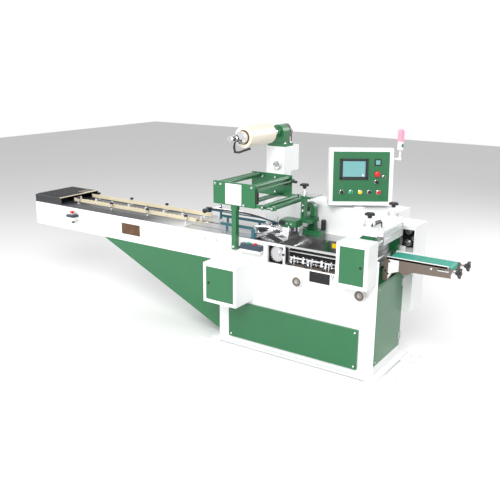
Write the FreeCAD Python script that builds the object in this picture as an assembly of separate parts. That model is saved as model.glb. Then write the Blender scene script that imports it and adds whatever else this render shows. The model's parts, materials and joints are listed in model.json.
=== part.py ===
import FreeCAD, Part
import math
import os

Vec = FreeCAD.Vector
ALONG = Vec(1, 0, 0)
ACROSS = Vec(0, 1, 0)
UP = Vec(0, 0, 1)

# Horizontal flow wrapper, in millimetres.
# X runs with the product, from the infeed (-X) to the discharge (+X). Y runs from the operator's
# side (-Y) to the rear. Z is up. The origin is on the floor, midway between the four anchor holes.

# ---- driving sizes ----

seat_gap = 0.3            # a moving piece to what carries it
sheet = 5.0               # housing sheet

# body
body_length = 1313.0
body_depth = 480.0
table_height = 868.0
front_to_anchors = 279.0  # body front to the line midway between the anchor rows
closed_height = 600.0     # the body is closed up to here, and open to the mechanism above

# plinth and feet
anchor_spacing_x = 1493.0
anchor_spacing_y = 484.0
anchor_hole_r = 9.0
foot_thickness = 10.0
foot_corner_r = 30.0
foot_tip = 57.0           # anchor hole to the foot's outer end
foot_inner = 124.0        # anchor hole to the end under the body
foot_front = 108.0
foot_rear = 82.0
plinth_height = 28.0
plinth_out = 43.0
plinth_rear_out = 92.0
plinth_width = 90.0

# covers on the body
cover_side = 100.0        # body edge to the front cover
cover_right_side = 117.0
cover_bottom = 57.0
cover_top = 355.0
cover_proud = 17.0
end_cover_bottom = 105.0
end_cover_top = 685.0
end_cover_margin = 8.0

# openings in the front panel
window_side = 134.0       # clear opening of the gear window
window_centre_x = 800.0   # from the body's right end
window_centre_z = 785.0
window_frame = 13.0
window_proud = 15.0
bay_left = 727.0          # mechanism bay, from the body's right end
bay_right = 310.0
bay_bottom = 722.0
hatch_left = 521.0
hatch_right = 357.0
hatch_bottom = 633.0
hatch_top = 712.0

# infeed
infeed_length = 2137.0
infeed_depth = 470.0
infeed_bottom = 654.0
bed_thickness = 6.0
bed_end = 790.0           # the bed runs on over the body to this distance from its right end
lane_centre = 250.0       # from the body's front
slot_width = 32.0
gusset_length = 1263.0
gusset_drop = 570.0
end_cover_length = 355.0
end_cover_height = 62.0
end_cover_depth = 460.0

# pusher chain
chain_width = 18.0
chain_thickness = 12.0
sprocket_r = 52.0
chain_left_in = 105.0     # first sprocket from the infeed's end
chain_run = 1890.0
lug_pitch = 205.0
lug_height = 40.0
lug_length = 10.0
chain_below_bed = 14.0

# guides
guide_height = 31.0
guide_top = 48.0          # above the bed
guide_thickness = 6.0
guide_offset = 111.0      # lane centre to each guide
guide_length = 1445.0
clamp_pitch = 420.0

# film frame
frame_plate_length = 374.0
frame_plate_height = 173.0
frame_plate_bottom = 1114.0
frame_plate_thickness = 8.0
frame_plate_right = 956.0
frame_post_side = 40.0
frame_post_centre = 1150.0
frame_post_bottom = 775.0
roller_r = 17.0

# column and reel
column_left = 1199.0
column_right = 1034.0
column_depth = 110.0
column_head_bottom = 1300.0
column_top = 1500.0
column_head_depth = 235.0
reel_centre = 1116.0
reel_height = 1610.0
spindle_r = 16.0
spindle_front = -147.0    # spindle's front end from the body's front
roll_r = 76.0
roll_core_r = 38.0
roll_front = 35.0
roll_rear = 367.0
bore_clearance = 0.06     # radial, spindle in its bearings

# cabinets
cabinet_left = 1034.0
cabinet_right = 95.0
cabinet_depth = 300.0
cabinet_bottom = 376.0
cabinet_top = 1090.0
sealer_housing_right = -66.0
sealer_housing_depth = 232.0
sealer_housing_top = 1018.0

# front boxes
box_sheet = 3.0
left_box_left = 1295.0
left_box_right = 997.0
left_box_depth = 230.0
left_box_bottom = 393.0
left_box_top = 699.0
right_box_left = 240.0
right_box_right = 12.0
right_box_depth = 160.0
right_box_bottom = 702.0
right_box_top = 1007.0
door_margin = 25.0
door_thickness = 3.0
door_gap = 2.0
door_pivot_in = 8.0       # door's edge to its pivot
door_pivot_back = 5.0     # rim's face to the pivot
door_pin_r = 2.5
door_boss = 16.0
pivot_lug = 8.0

# end sealer
jaw_axis_x = 100.0        # from the body's right end
jaw_radius = 58.0
jaw_length = 250.0
jaw_shaft_r = 15.0
jaw_clearance = 8.0       # a fixed piece to the jaws' sweep
sealer_plate_thickness = 30.0
sealer_plate_width = 120.0
sealer_plate_top = 1030.0
sealer_front_y = 20.0
sealer_rear_y = 430.0
knob_r = 35.0

# discharge
belt_width = 145.0
belt_top = 862.0
belt_start = 15.0         # inside the body's right end
belt_end = 430.0
belt_thickness = 3.0
belt_roller_r = 21.0
side_plate_thickness = 5.0
side_plate_length = 350.0

# seam table
table_front = 300.0       # table plate's front edge, from the body's front
table_left = 790.0        # from the body's right end
table_right = 240.0
table_skirt = 130.0
seam_cast_left = 800.0
seam_cast_right = 640.0

# film former
former_left = 1000.0      # from the body's right end
former_right = 800.0
former_height = 78.0
former_sheet = 3.0
former_wing = 80.0
former_top_half = 62.0
former_foot_half = 84.0

# handwheels: distance from the right end and height
handwheel_r = 35.0
handwheel_places = {"seam_handwheel": (607.0, 621.0), "jaw_handwheel": (117.0, 614.0)}

# push-button stations
station_depth = 50.0
station_left = 1088.0
station_right = 910.0
station_bottom = 773.0
station_top = 836.0
button_r = 13.0
button_height = 12.0
stop_left = 2969.0
stop_right = 2877.0
stop_bottom = 756.0
stop_top = 808.0
stop_depth = 62.0
stop_head_r = 20.0

# end sealer fittings
tie_thickness = 12.0
bridge_height = 53.0
bridge_out = 20.0
knob_screw = 66.0
guard_hinge_z = 1064.0
guard_front = 48.0        # from the body's front
guard_rear = 392.0
guard_drop = 96.0
guard_thickness = 5.0
guard_pin_r = 4.0

# control panel
panel_width = 472.0
panel_height = 424.0
panel_depth = 110.0
panel_yaw = 33.5
panel_tilt = 6.0
panel_centre = 391.0
panel_front = 520.0
panel_bottom = 1112.0
panel_rim = 28.0

# ---- places worked out from them ----

right = body_length / 2
left = -body_length / 2
front = -front_to_anchors
back = front + body_depth
infeed_left = left - infeed_length
lane_y = front + lane_centre
bed_top = table_height
jaw_x = right - jaw_axis_x

nodes = {}


# ---- shape helpers ----

def box(x0, x1, y0, y1, z0, z1):
    return Part.makeBox(x1 - x0, y1 - y0, z1 - z0, Vec(x0, y0, z0))


def rod(start, axis, radius, length):
    return Part.makeCylinder(radius, length, start, axis)


def ring(start, axis, outer, inner, length):
    return rod(start, axis, outer, length).cut(rod(start, axis, inner, length))


def rounded(solid, axis, radius):
    edges = [e for e in solid.Edges
             if abs(abs(e.tangentAt(e.FirstParameter).dot(axis)) - 1) < 1e-6]
    return solid.makeFillet(radius, edges)


def prism(points, direction):
    return Part.Face(Part.makePolygon(points + points[:1])).extrude(direction)


def side_prism(points, y0, y1):
    return prism([Vec(x, y0, z) for x, z in points], Vec(0, y1 - y0, 0))


def end_prism(points, x0, x1):
    return prism([Vec(x0, y, z) for y, z in points], Vec(x1 - x0, 0, 0))


def joined(*solids):
    shape = solids[0]
    for solid in solids[1:]:
        shape = shape.fuse(solid)
    return shape.removeSplitter()


def turned(profile, start, axis):
    """profile: (radius, distance along axis) pairs of a closed outline on one side of the axis."""
    points = [Vec(r, 0, h) for r, h in profile]
    face = Part.Face(Part.makePolygon(points + points[:1]))
    shape = face.revolve(Vec(0, 0, 0), UP, 360)
    shape.Placement = FreeCAD.Placement(start, FreeCAD.Rotation(UP, axis))
    return shape


def star_knob(seat, axis, lobes=5):
    """Lobed hand knob; seat is the middle of its neck's end face."""
    neck_r = knob_r * 0.42
    neck_h = knob_r * 0.5
    head_h = knob_r * 0.42
    dome = turned([(0, 0), (neck_r, 0), (neck_r, neck_h), (knob_r * 0.74, neck_h),
                   (knob_r * 0.74, neck_h + head_h * 0.8), (knob_r * 0.4, neck_h + head_h * 1.2),
                   (0, neck_h + head_h * 1.3)], Vec(0, 0, 0), UP)
    shape = dome
    for i in range(lobes):
        a = 2 * math.pi * i / lobes
        centre = Vec(knob_r * 0.68 * math.cos(a), knob_r * 0.68 * math.sin(a), neck_h)
        shape = shape.fuse(rod(centre, UP, knob_r * 0.32, head_h))
    shape = shape.removeSplitter()
    shape.Placement = FreeCAD.Placement(seat, FreeCAD.Rotation(UP, axis))
    return shape


# ---- base and body ----

def base_frame():
    x0, x1 = left - plinth_out, right + plinth_out
    y0, y1 = front - plinth_out, back + plinth_rear_out
    outer = rounded(box(x0, x1, y0, y1, foot_thickness, plinth_height), UP, 6)
    w = plinth_width
    shape = outer.cut(box(x0 + w, x1 - w, y0 + w, y1 - w, 0, plinth_height + 1))
    holes = []
    for side in (-1, 1):
        hole_x = side * anchor_spacing_x / 2
        ends = sorted((hole_x + side * foot_tip, hole_x - side * foot_inner))
        for row in (-1, 1):
            hole_y = row * anchor_spacing_y / 2
            foot = box(ends[0], ends[1], hole_y - foot_front, hole_y + foot_rear, 0, foot_thickness)
            shape = shape.fuse(rounded(foot, UP, foot_corner_r))
            holes.append(rod(Vec(hole_x, hole_y, -1), UP, anchor_hole_r, plinth_height + 2))
    for hole in holes:
        shape = shape.cut(hole)
    return shape.removeSplitter()


def main_housing():
    lower = box(left, right, front, back, plinth_height, closed_height)
    rear_wall = box(left, right, back - sheet, back, closed_height, table_height)
    left_wall = box(left, left + sheet, front + sheet, back, closed_height, infeed_bottom)
    right_wall = box(right - sheet, right, front + sheet, back, closed_height, end_cover_top)
    return joined(lower, rear_wall, left_wall, right_wall)


def front_panel():
    shape = box(left, right, front, front + sheet, closed_height, table_height)
    shape = shape.cut(box(right - bay_left, right - bay_right, front - 1, front + sheet + 1,
                          bay_bottom, table_height + 1))
    shape = shape.cut(box(right - hatch_left, right - hatch_right, front - 1, front + sheet + 1,
                          hatch_bottom, hatch_top))
    cx, cz, h = right - window_centre_x, window_centre_z, window_side / 2
    f = h + window_frame
    rim = box(cx - f, cx + f, front - window_proud, front, cz - f, cz + f)
    rim = rounded(rim, ACROSS, 6)
    shape = shape.fuse(rim)
    shape = shape.cut(box(cx - h, cx + h, front - window_proud - 1, front + sheet + 1, cz - h, cz + h))
    return shape.removeSplitter()


def front_cover_panel():
    shape = box(left + cover_side, right - cover_right_side, front - cover_proud, front,
                cover_bottom, cover_top)
    return rounded(shape, ACROSS, 6)


def right_end_panel():
    return box(right, right + door_thickness, front + end_cover_margin, back - end_cover_margin,
               end_cover_bottom, end_cover_top)


nodes["base_frame"] = base_frame()
nodes["main_housing"] = main_housing()
nodes["front_panel"] = front_panel()
nodes["front_cover_panel"] = front_cover_panel()
nodes["right_end_panel"] = right_end_panel()


# ---- infeed ----

chain_left = infeed_left + chain_left_in
chain_right = chain_left + chain_run
chain_top = bed_top - chain_below_bed
chain_axis_z = chain_top - chain_thickness - sprocket_r


def infeed_frame():
    """Trough with the two sprocket shafts across it."""
    x0, x1 = infeed_left, left
    y0, y1 = front, front + infeed_depth
    top = bed_top - bed_thickness
    shape = box(x0, x1, y0, y1, infeed_bottom, top)
    shape = shape.cut(box(x0 + sheet, x1 + 1, y0 + sheet, y1 - sheet, infeed_bottom + sheet, top + 1))
    for x in (chain_left, chain_right):
        shape = shape.fuse(rod(Vec(x, y0 + sheet, chain_axis_z), ACROSS, 12, infeed_depth - 2 * sheet))
        shape = shape.fuse(rod(Vec(x, lane_y - chain_width / 2, chain_axis_z), ACROSS,
                               sprocket_r - seat_gap, chain_width))
    return shape.removeSplitter()


def infeed_gusset():
    x0, x1 = left - gusset_length, left
    points = [(x0, infeed_bottom), (x1, infeed_bottom), (x1, infeed_bottom - gusset_drop)]
    return side_prism(points, front + sheet, front + infeed_depth - sheet)


def infeed_bed():
    """Two bed strips with the chain's slot between them and the chain's track below."""
    x0, x1 = infeed_left, right - bed_end
    y0, y1 = front, front + infeed_depth
    h = slot_width / 2
    near = box(x0, x1, y0, lane_y - h, bed_top - bed_thickness, bed_top)
    near = near.cut(box(left, x1 + 1, y0 - 1, front + sheet, bed_top - bed_thickness - 1, bed_top + 1))
    far = box(x0, x1, lane_y + h, y1, bed_top - bed_thickness, bed_top)
    t0 = chain_left + sprocket_r
    t1 = chain_right - sprocket_r
    floor = chain_top - chain_thickness - seat_gap
    track = box(t0, t1, lane_y - h - 4, lane_y + h + 4, floor - 6, bed_top - bed_thickness)
    track = track.cut(box(t0 - 1, t1 + 1, lane_y - h, lane_y + h, floor, bed_top))
    bridge = box(x1 - 60, x1, lane_y - h, lane_y + h, bed_top - bed_thickness, bed_top)
    return joined(near, bridge, far, track)


def stadium(r, y0, y1):
    middle = box(chain_left, chain_right, y0, y1, chain_axis_z - r, chain_axis_z + r)
    for x in (chain_left, chain_right):
        middle = middle.fuse(rod(Vec(x, y0, chain_axis_z), ACROSS, r, y1 - y0))
    return middle.removeSplitter()


def pusher_chain():
    """Chain loop round both sprockets."""
    y0, y1 = lane_y - chain_width / 2, lane_y + chain_width / 2
    return stadium(sprocket_r + chain_thickness, y0, y1).cut(stadium(sprocket_r, y0, y1))


def pusher_lugs():
    """Pushers at an even pitch on the loop's upper and lower runs."""
    y0, y1 = lane_y - chain_width / 2, lane_y + chain_width / 2
    count = int(chain_run // lug_pitch)
    first = chain_left + (chain_run - count * lug_pitch) / 2
    low = chain_axis_z - sprocket_r - chain_thickness
    solids = []
    for i in range(count + 1):
        x = first + i * lug_pitch
        solids.append(box(x, x + lug_length, y0, y1, chain_top, bed_top + lug_height))
        solids.append(box(x, x + lug_length, y0, y1, low - lug_height, low))
    return Part.makeCompound(solids)


def infeed_end_cover():
    x0, x1 = infeed_left, infeed_left + end_cover_length
    y0, y1 = front, front + end_cover_depth
    z1 = bed_top + end_cover_height
    shape = rounded(box(x0, x1, y0, y1, bed_top, z1), UP, 8)
    inside = box(x0 + sheet, x1 + 1, y0 + sheet, y1 - sheet, bed_top - 1, z1 - sheet)
    shape = shape.cut(inside)
    pitch = end_cover_length / 9
    for i in range(8):
        x = x0 + pitch * (i + 0.75)
        shape = shape.cut(box(x, x + pitch * 0.5, y0 + 30, y1 - 30, z1 - 2.5, z1 + 1))
    return shape


guide_left = infeed_left + end_cover_length
guide_right = guide_left + guide_length


def guide_rail(side):
    """One side guide with its clamp posts, which stand on the bed outside the rail."""
    y = lane_y + side * guide_offset
    y0 = y - guide_thickness / 2
    z1 = bed_top + guide_top
    shape = box(guide_left + 20, guide_right, y0, y0 + guide_thickness, z1 - guide_height, z1)
    post_y = y + side * (guide_thickness / 2 + 14)
    count = int(guide_length // clamp_pitch)
    for i in range(count + 1):
        x = guide_left + 95 + i * clamp_pitch
        post = rod(Vec(x, post_y, bed_top), UP, 7, guide_top + 4)
        foot = rod(Vec(x, post_y, bed_top), UP, 15, 8)
        arm_y = sorted((post_y, y))
        arm = box(x - 6, x + 6, arm_y[0], arm_y[1], z1 - 22, z1 - 10)
        cap = rod(Vec(x, post_y, bed_top + guide_top + 4), UP, 13, 12)
        shape = shape.fuse(post).fuse(foot).fuse(arm).fuse(cap)
    return shape.removeSplitter()


nodes["infeed_frame"] = infeed_frame()
nodes["infeed_gusset"] = infeed_gusset()
nodes["infeed_bed"] = infeed_bed()
nodes["pusher_chain"] = pusher_chain()
nodes["pusher_lugs"] = pusher_lugs()
nodes["infeed_end_cover"] = infeed_end_cover()
nodes["guide_rails"] = Part.makeCompound([guide_rail(-1), guide_rail(1)])


# ---- table and sealing of the film's seam ----


def table_plate():
    """Folded plate behind the seam slot, the deck on to the end sealer and the front rail."""
    x0, x1 = right - table_left, right - table_right
    y0 = front + table_front
    z0 = bed_top - bed_thickness
    top = box(x0, x1, y0, back - sheet, z0, bed_top)
    skirt = box(x0, x1, y0, y0 + sheet, bed_top - table_skirt, bed_top)
    deck_end = right - jaw_axis_x - jaw_radius - jaw_clearance
    deck = box(x1, deck_end, front + sheet, back - sheet, z0, bed_top)
    rail = box(right - bay_left, x1, front + sheet, front + sheet + 12, bed_top - 14, bed_top)
    return joined(top, skirt, deck, rail)


def seam_head():
    """Green castings over the seam: foot, cane-shaped arm, slotted upright, cross arm and head."""
    y0 = front + 380
    x0, x1 = right - seam_cast_left, right - seam_cast_right
    foot = rounded(box(x0, x1, y0, y0 + 80, bed_top, bed_top + 34), UP, 10)
    # cane arm, from a straight back into a half-round top that ends in a hook
    w = 36.0
    xr = right - 705.0
    r_out = 50.0
    centre = Vec(xr - r_out, y0 + 15, bed_top + 195)
    bend = ring(centre, ACROSS, r_out, r_out - w, 46)
    upper = box(centre.x - r_out, centre.x + r_out, y0 + 15, y0 + 61, centre.z, centre.z + r_out)
    bend = bend.common(upper)
    back_leg = box(xr - w, xr, y0 + 15, y0 + 61, bed_top + 30, centre.z)
    hook = box(centre.x - r_out, centre.x - r_out + w, y0 + 15, y0 + 61, centre.z - 26, centre.z)
    rib = side_prism([(xr - w - 44, bed_top + 30), (xr - w + 1, bed_top + 30),
                      (xr - w + 1, bed_top + 120)], y0 + 32, y0 + 44)
    # slotted upright that carries the head, joined to the cane by the cross arm
    ux = right - 768.0
    uy = front + 292.0
    upright = box(ux, ux + 40, uy, uy + 26, bed_top + 105, bed_top + 300)
    slot = rounded(box(ux + 14, ux + 26, uy - 1, uy + 27, bed_top + 150, bed_top + 275),
                   ACROSS, 5.5)
    upright = upright.cut(slot)
    cross = box(ux, ux + 90, uy, y0 + 40, bed_top + 105, bed_top + 135)
    cap = box(ux - 6, ux + 96, uy - 6, y0 + 61, bed_top + 300, bed_top + 308)
    head = rounded(box(ux - 130, ux + 8, front + 205, uy + 26, bed_top + former_height + 2,
                       bed_top + 130), UP, 8)
    return joined(foot, back_leg, bend, hook, rib, upright, cross, head, cap)


def seam_knob_seat():
    return Vec(right - 768.0 + 20, front + 292.0 + 13, bed_top + 368)


def seam_screw():
    """Adjusting screw standing in the cap of the upright."""
    seat = seam_knob_seat()
    return rod(Vec(seat.x, seat.y, bed_top + 308), UP, 6, seat.z - bed_top - 308 - seat_gap)


def pressure_brackets():
    """Three sprung brackets on a ledge in the mechanism bay, each with a round knob."""
    ledge = box(right - bay_left, right - bay_right, front + sheet, front + 70,
                bay_bottom - 8, bay_bottom)
    shape = ledge
    for i in range(3):
        x = right - 690 + 140 * i
        run = 96 if i < 2 else 50
        leg = box(x, x + 12, front + 20, front + 32, bay_bottom, bay_bottom + 52)
        top = box(x, x + run, front + 20, front + 32, bay_bottom + 52, bay_bottom + 64)
        shape = shape.fuse(leg).fuse(top)
        shape = shape.fuse(rod(Vec(x + 28, front + 26, bay_bottom), UP, 5, 52))
        shape = shape.fuse(rod(Vec(x - 4, front + 12, bay_bottom + 14), ACROSS, 13, 26))
    return shape.removeSplitter()


def gear_wheel():
    """Change wheel seen through the window, on a stub shaft from the housing's rear wall side."""
    cx, cz = right - window_centre_x, window_centre_z
    y0 = front + sheet + 12
    teeth = 20
    outer_r = window_side / 2 - 8
    root_r = outer_r - 7
    wheel = rod(Vec(cx, y0, cz), ACROSS, root_r, 16)
    half = math.pi * root_r / teeth / 2
    for i in range(teeth):
        tooth = box(-half, half, 0, 16, root_r - 2, outer_r)
        tooth.rotate(Vec(0, 0, 0), ACROSS, 360.0 * i / teeth)
        tooth.translate(Vec(cx, y0, cz))
        wheel = wheel.fuse(tooth)
    hub = rod(Vec(cx, y0 - 8, cz), ACROSS, 22, 32)
    shaft = rod(Vec(cx, y0, cz), ACROSS, 14, table_front - sheet - 12)
    return joined(wheel, hub, shaft)


nodes["table_plate"] = table_plate()
nodes["seam_head"] = joined(seam_head(), seam_screw())
nodes["seam_knob"] = star_knob(seam_knob_seat(), UP)
nodes["pressure_brackets"] = pressure_brackets()
nodes["gear_wheel"] = gear_wheel()


# ---- film path: former, hold-down, frame and rollers ----


def film_former():
    """Folding box: an inverted channel over the lane, with a flared wing each side."""
    x0, x1 = right - former_left, right - former_right
    t, f = former_top_half, former_foot_half
    s = former_sheet
    z0, z1 = bed_top, bed_top + former_height
    outer = [(lane_y - f, z0), (lane_y + f, z0), (lane_y + t, z1), (lane_y - t, z1)]
    inner = [(lane_y - f + s, z0 - 1), (lane_y + f - s, z0 - 1),
             (lane_y + t - s, z1 - s), (lane_y - t + s, z1 - s)]
    shape = end_prism(outer, x0, x1).cut(end_prism(inner, x0 - 1, x1 + 1))
    for side in (-1, 1):
        y0 = lane_y + side * (t - 1)
        y1 = lane_y + side * (t + former_wing)
        wing = prism([Vec(x0, y0, z1 - s), Vec(x0 + 150, y0, z1 - s),
                      Vec(x0 + 20, y1, z0 + 24)], Vec(0, 0, s))
        shape = shape.fuse(wing)
    return shape.removeSplitter()


def former_shoulder():
    """Black folded plate: a low gable on the bed in front of the folding box."""
    x0, x1 = right - 1010, right - bed_end - 5
    xm, z1, t = (x0 + x1) / 2, bed_top + 44, 4
    points = [(x0, bed_top), (xm, z1), (x1, bed_top), (x1 - 3 * t, bed_top), (xm, z1 - t),
              (x0 + 3 * t, bed_top)]
    return side_prism(points, front + 20, front + 90)


def entry_guides():
    """Two dark guide bars that lead the product from the guide rails into the former."""
    z1 = bed_top + 52
    solids = []
    for side, x0, x1 in ((-1, 1400, 1015), (1, 1550, 1118)):
        y = lane_y + side * guide_offset
        bar = box(right - x0, right - x1, y - 4, y + 4, z1 - 22, z1)
        for x in (right - x0 + 60, right - x1 - 60):
            bar = bar.fuse(box(x - 10, x + 10, y - 4, y + 4, bed_top, z1 - 22))
        solids.append(bar.removeSplitter())
    return Part.makeCompound(solids)


def hold_down():
    """Bent strip over the lane, hung from a cross rod on a post behind the rear guide."""
    rod_x = right - 1600
    y_rod0, y_rod1 = lane_y - 20, front + 430
    z = bed_top + 105
    post = rod(Vec(rod_x, front + 415, bed_top), UP, 10, z - bed_top + 12)
    cross = rod(Vec(rod_x, y_rod0, z), ACROSS, 7, y_rod1 - y_rod0)
    clamp = box(rod_x - 14, rod_x + 14, lane_y - 12, lane_y + 12, z - 14, z + 14)
    flat = box(rod_x, right - 1100, lane_y - 6, lane_y + 6, z - 4, z + 4)
    drop = side_prism([(right - 1101, z + 4), (right - 915, z - 16), (right - 915, z - 24),
                       (right - 1101, z - 4)], lane_y - 6, lane_y + 6)
    knob = rod(Vec(rod_x, y_rod0 - 26, z), ACROSS, 15, 27)
    return joined(post, cross, clamp, flat, drop, knob)


frame_x0 = right - frame_plate_right - frame_plate_length
frame_x1 = right - frame_plate_right
frame_z0 = frame_plate_bottom
frame_z1 = frame_plate_bottom + frame_plate_height
frame_front_y = front - frame_post_side - frame_plate_thickness
frame_rear_y = back - frame_plate_thickness
arm_y_front = frame_front_y + frame_plate_thickness
arm_y_rear = frame_rear_y - 8
arm_left = frame_x1 - 60
arm_right = frame_x1 + 175


def slotted_arm(y0):
    """Slotted arm along the frame plate's lower edge, with a short rod bracket above it."""
    z0 = frame_z0 + 4
    arm = rounded(box(arm_left, arm_right, y0, y0 + 8, z0, z0 + 26), ACROSS, 8)
    slot = rounded(box(frame_x1 + 40, arm_right - 14, y0 - 1, y0 + 9, z0 + 8, z0 + 18), ACROSS, 4.9)
    bracket = box(frame_x1 - 12, frame_x1 + 26, y0, y0 + 8, frame_z1 - 52, frame_z1 - 26)
    return arm.cut(slot), bracket


def film_frame_front():
    plate = rounded(box(frame_x0, frame_x1, frame_front_y, frame_front_y + frame_plate_thickness,
                        frame_z0, frame_z1), ACROSS, 5)
    post = box(right - frame_post_centre - frame_post_side / 2,
               right - frame_post_centre + frame_post_side / 2,
               front - frame_post_side, front, frame_post_bottom, frame_z0 + 60)
    socket = box(right - frame_post_centre - frame_post_side / 2 - 6,
                 right - frame_post_centre + frame_post_side / 2 + 6,
                 front - frame_post_side, front, frame_z0 - 34, frame_z0 + 4)
    arm, bracket = slotted_arm(arm_y_front)
    return joined(plate, post, socket, arm, bracket)


def film_frame_rear():
    plate = rounded(box(frame_x0, frame_x1, frame_rear_y, back, frame_z0, frame_z1), ACROSS, 5)
    arm, bracket = slotted_arm(arm_y_rear)
    return joined(plate, arm, bracket)


roller_places = (
    (frame_x0 + 26, frame_z1 - 22),
    (frame_x0 + 71, frame_z1 - 22),
    (frame_x1 - 29, frame_z1 - 22),
    (frame_x1 - 99, frame_z0 + 20),
)
arm_roller_places = ((frame_x1 + 58, frame_z0 + 17), (frame_x1 + 140, frame_z0 + 17))


def film_rollers():
    """Rollers between the two frame plates and between the slotted arms, and the guide rod."""
    solids = []
    y0 = frame_front_y + frame_plate_thickness
    for x, z in roller_places:
        solids.append(rod(Vec(x, y0, z), ACROSS, roller_r, frame_rear_y - y0))
    y0 = arm_y_front + 8
    for x, z in arm_roller_places:
        solids.append(rod(Vec(x, y0, z), ACROSS, roller_r, arm_y_rear - y0))
    solids.append(rod(Vec(frame_x1 + 14, y0, frame_z1 - 39), ACROSS, 6, arm_y_rear - y0))
    return Part.makeCompound(solids)


nodes["film_former"] = film_former()
nodes["former_shoulder"] = former_shoulder()
nodes["entry_guides"] = Part.makeCompound([entry_guides(), hold_down()])
nodes["film_frame_front"] = film_frame_front()
nodes["film_frame_rear"] = film_frame_rear()
nodes["film_rollers"] = film_rollers()


# ---- column and reel ----

reel_x = right - reel_centre
column_knob_z = 1361.0
column_knob_x = right - 1084.0
bearing_depth = 120.0
bearing_front = back + 15.0
spindle_rear = bearing_front + bearing_depth + 42.0


def reel_column():
    x0, x1 = right - column_left, right - column_right
    post = box(x0, x1, back, back + column_depth, bed_top - 200, column_head_bottom)
    head = rounded(box(x0, x1, back, back + column_head_depth, column_head_bottom, column_top),
                   UP, 6)
    return joined(post, head)


def column_knob():
    start = Vec(column_knob_x, back - seat_gap, column_knob_z)
    profile = [(0, 0), (13, 0), (13, 14), (31, 14), (31, 32), (27, 36), (20, 33), (0, 33)]
    return turned(profile, start, Vec(0, -1, 0))


def bearing_block():
    """Pedestal bearing: flanged foot, domed upright and a long boss towards the reel."""
    y0, y1 = bearing_front, bearing_front + bearing_depth
    z0 = column_top
    foot = rounded(box(reel_x - 82, reel_x + 82, y0 - 6, y1 + 6, z0, z0 + 22), UP, 12)
    web = box(reel_x - 56, reel_x + 56, y0 + 12, y1 - 12, z0 + 22, reel_height)
    dome = rod(Vec(reel_x, y0 + 12, reel_height), ACROSS, 56, bearing_depth - 24)
    boss = rod(Vec(reel_x, y0 - 14, reel_height), ACROSS, 40, bearing_depth + 14)
    shape = joined(foot, web, dome, boss)
    bore = rod(Vec(reel_x, y0 - 30, reel_height), ACROSS, spindle_r + bore_clearance,
               bearing_depth + 60)
    return shape.cut(bore)


def spindle():
    """Reel shaft with a stepped front end, collar and chuck cone, all turned in one."""
    y0 = front + spindle_front
    length = spindle_rear - y0
    roll0 = front + roll_front - y0
    profile = [(0, 0), (19, 0), (22, 4), (22, 22), (15, 26), (15, 60), (24, 60), (24, 92),
               (roll_core_r - 2, 120), (roll_core_r + 8, 134), (roll_core_r + 8, roll0 - 1),
               (spindle_r, roll0 - 1), (spindle_r, length), (0, length)]
    return turned(profile, Vec(reel_x, y0, reel_height), ACROSS)


def film_roll():
    start = Vec(reel_x, front + roll_front, reel_height)
    return ring(start, ACROSS, roll_r, spindle_r, roll_rear - roll_front)


def brake_pulley():
    y0 = bearing_front + bearing_depth + 6
    profile = [(spindle_r, 0), (58, 0), (58, 5), (50, 9), (50, 21), (58, 25), (58, 30),
               (spindle_r, 30)]
    return turned(profile, Vec(reel_x, y0, reel_height), ACROSS)


nodes["reel_column"] = reel_column()
nodes["column_knob"] = column_knob()
nodes["bearing_block"] = bearing_block()
nodes["spindle"] = spindle()
nodes["film_roll"] = film_roll()
nodes["brake_pulley"] = brake_pulley()


# ---- cabinets behind and boxes in front ----

def rear_cabinet():
    x0, x1 = right - cabinet_left, right - cabinet_right
    shape = box(x0, x1, back, back + cabinet_depth, cabinet_bottom, cabinet_top)
    return rounded(shape, ALONG, 8)


housing_x0 = right - cabinet_right
housing_x1 = right - sealer_housing_right
housing_opening_bottom = 820.0
housing_opening_top = 992.0
housing_opening_depth = 150.0
housing_margin = 10.0


def sealer_housing():
    shape = box(housing_x0, housing_x1, back, back + sealer_housing_depth, cabinet_bottom,
                sealer_housing_top)
    hollow = box(housing_x0 + 12, housing_x1 - housing_margin, back - 1,
                 back + housing_opening_depth, housing_opening_bottom, housing_opening_top)
    return shape.cut(hollow)


def pivot_x(x0, x1, hinge_right):
    inset = door_margin + door_gap + door_pivot_in
    return x1 - inset if hinge_right else x0 + inset


def open_box(x0, x1, depth, z0, z1, hinge_right):
    """Sheet box on the body's front, with a rim round its door and lugs for the door's pivots."""
    y0 = front - depth
    m = door_margin
    shape = box(x0, x1, y0, front, z0, z1)
    shape = shape.cut(box(x0 + box_sheet, x1 - box_sheet, y0 + box_sheet, front - box_sheet,
                          z0 + box_sheet, z1 - box_sheet))
    shape = shape.cut(box(x0 + m, x1 - m, y0 - 1, y0 + box_sheet + 1, z0 + m, z1 - m))
    x = pivot_x(x0, x1, hinge_right)
    y = y0 + door_pivot_back
    for z in (z0 + m - pivot_lug, z1 - m):
        lug = box(x - 8, x + 8, y0 + box_sheet, y + 7, z, z + pivot_lug)
        shape = shape.fuse(lug)
        shape = shape.cut(rod(Vec(x, y, z - 1), UP, door_pin_r + bore_clearance, pivot_lug + 2))
    return shape.removeSplitter()


def box_door(x0, x1, depth, z0, z1, hinge_right):
    """Door flush in the rim, with a pivot boss and pin at its top and bottom corners."""
    y0 = front - depth
    inset = door_margin + door_gap
    shape = box(x0 + inset, x1 - inset, y0, y0 + door_thickness, z0 + inset, z1 - inset)
    x = pivot_x(x0, x1, hinge_right)
    y = y0 + door_pivot_back
    boss_r = door_pivot_back
    reach = door_gap + pivot_lug
    shape = shape.fuse(rod(Vec(x, y, z0 + inset), UP, boss_r, door_boss))
    shape = shape.fuse(rod(Vec(x, y, z0 + inset - reach), UP, door_pin_r, reach + 1))
    shape = shape.fuse(rod(Vec(x, y, z1 - inset - door_boss), UP, boss_r, door_boss))
    shape = shape.fuse(rod(Vec(x, y, z1 - inset - 1), UP, door_pin_r, reach + 1))
    return shape.removeSplitter()


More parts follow.
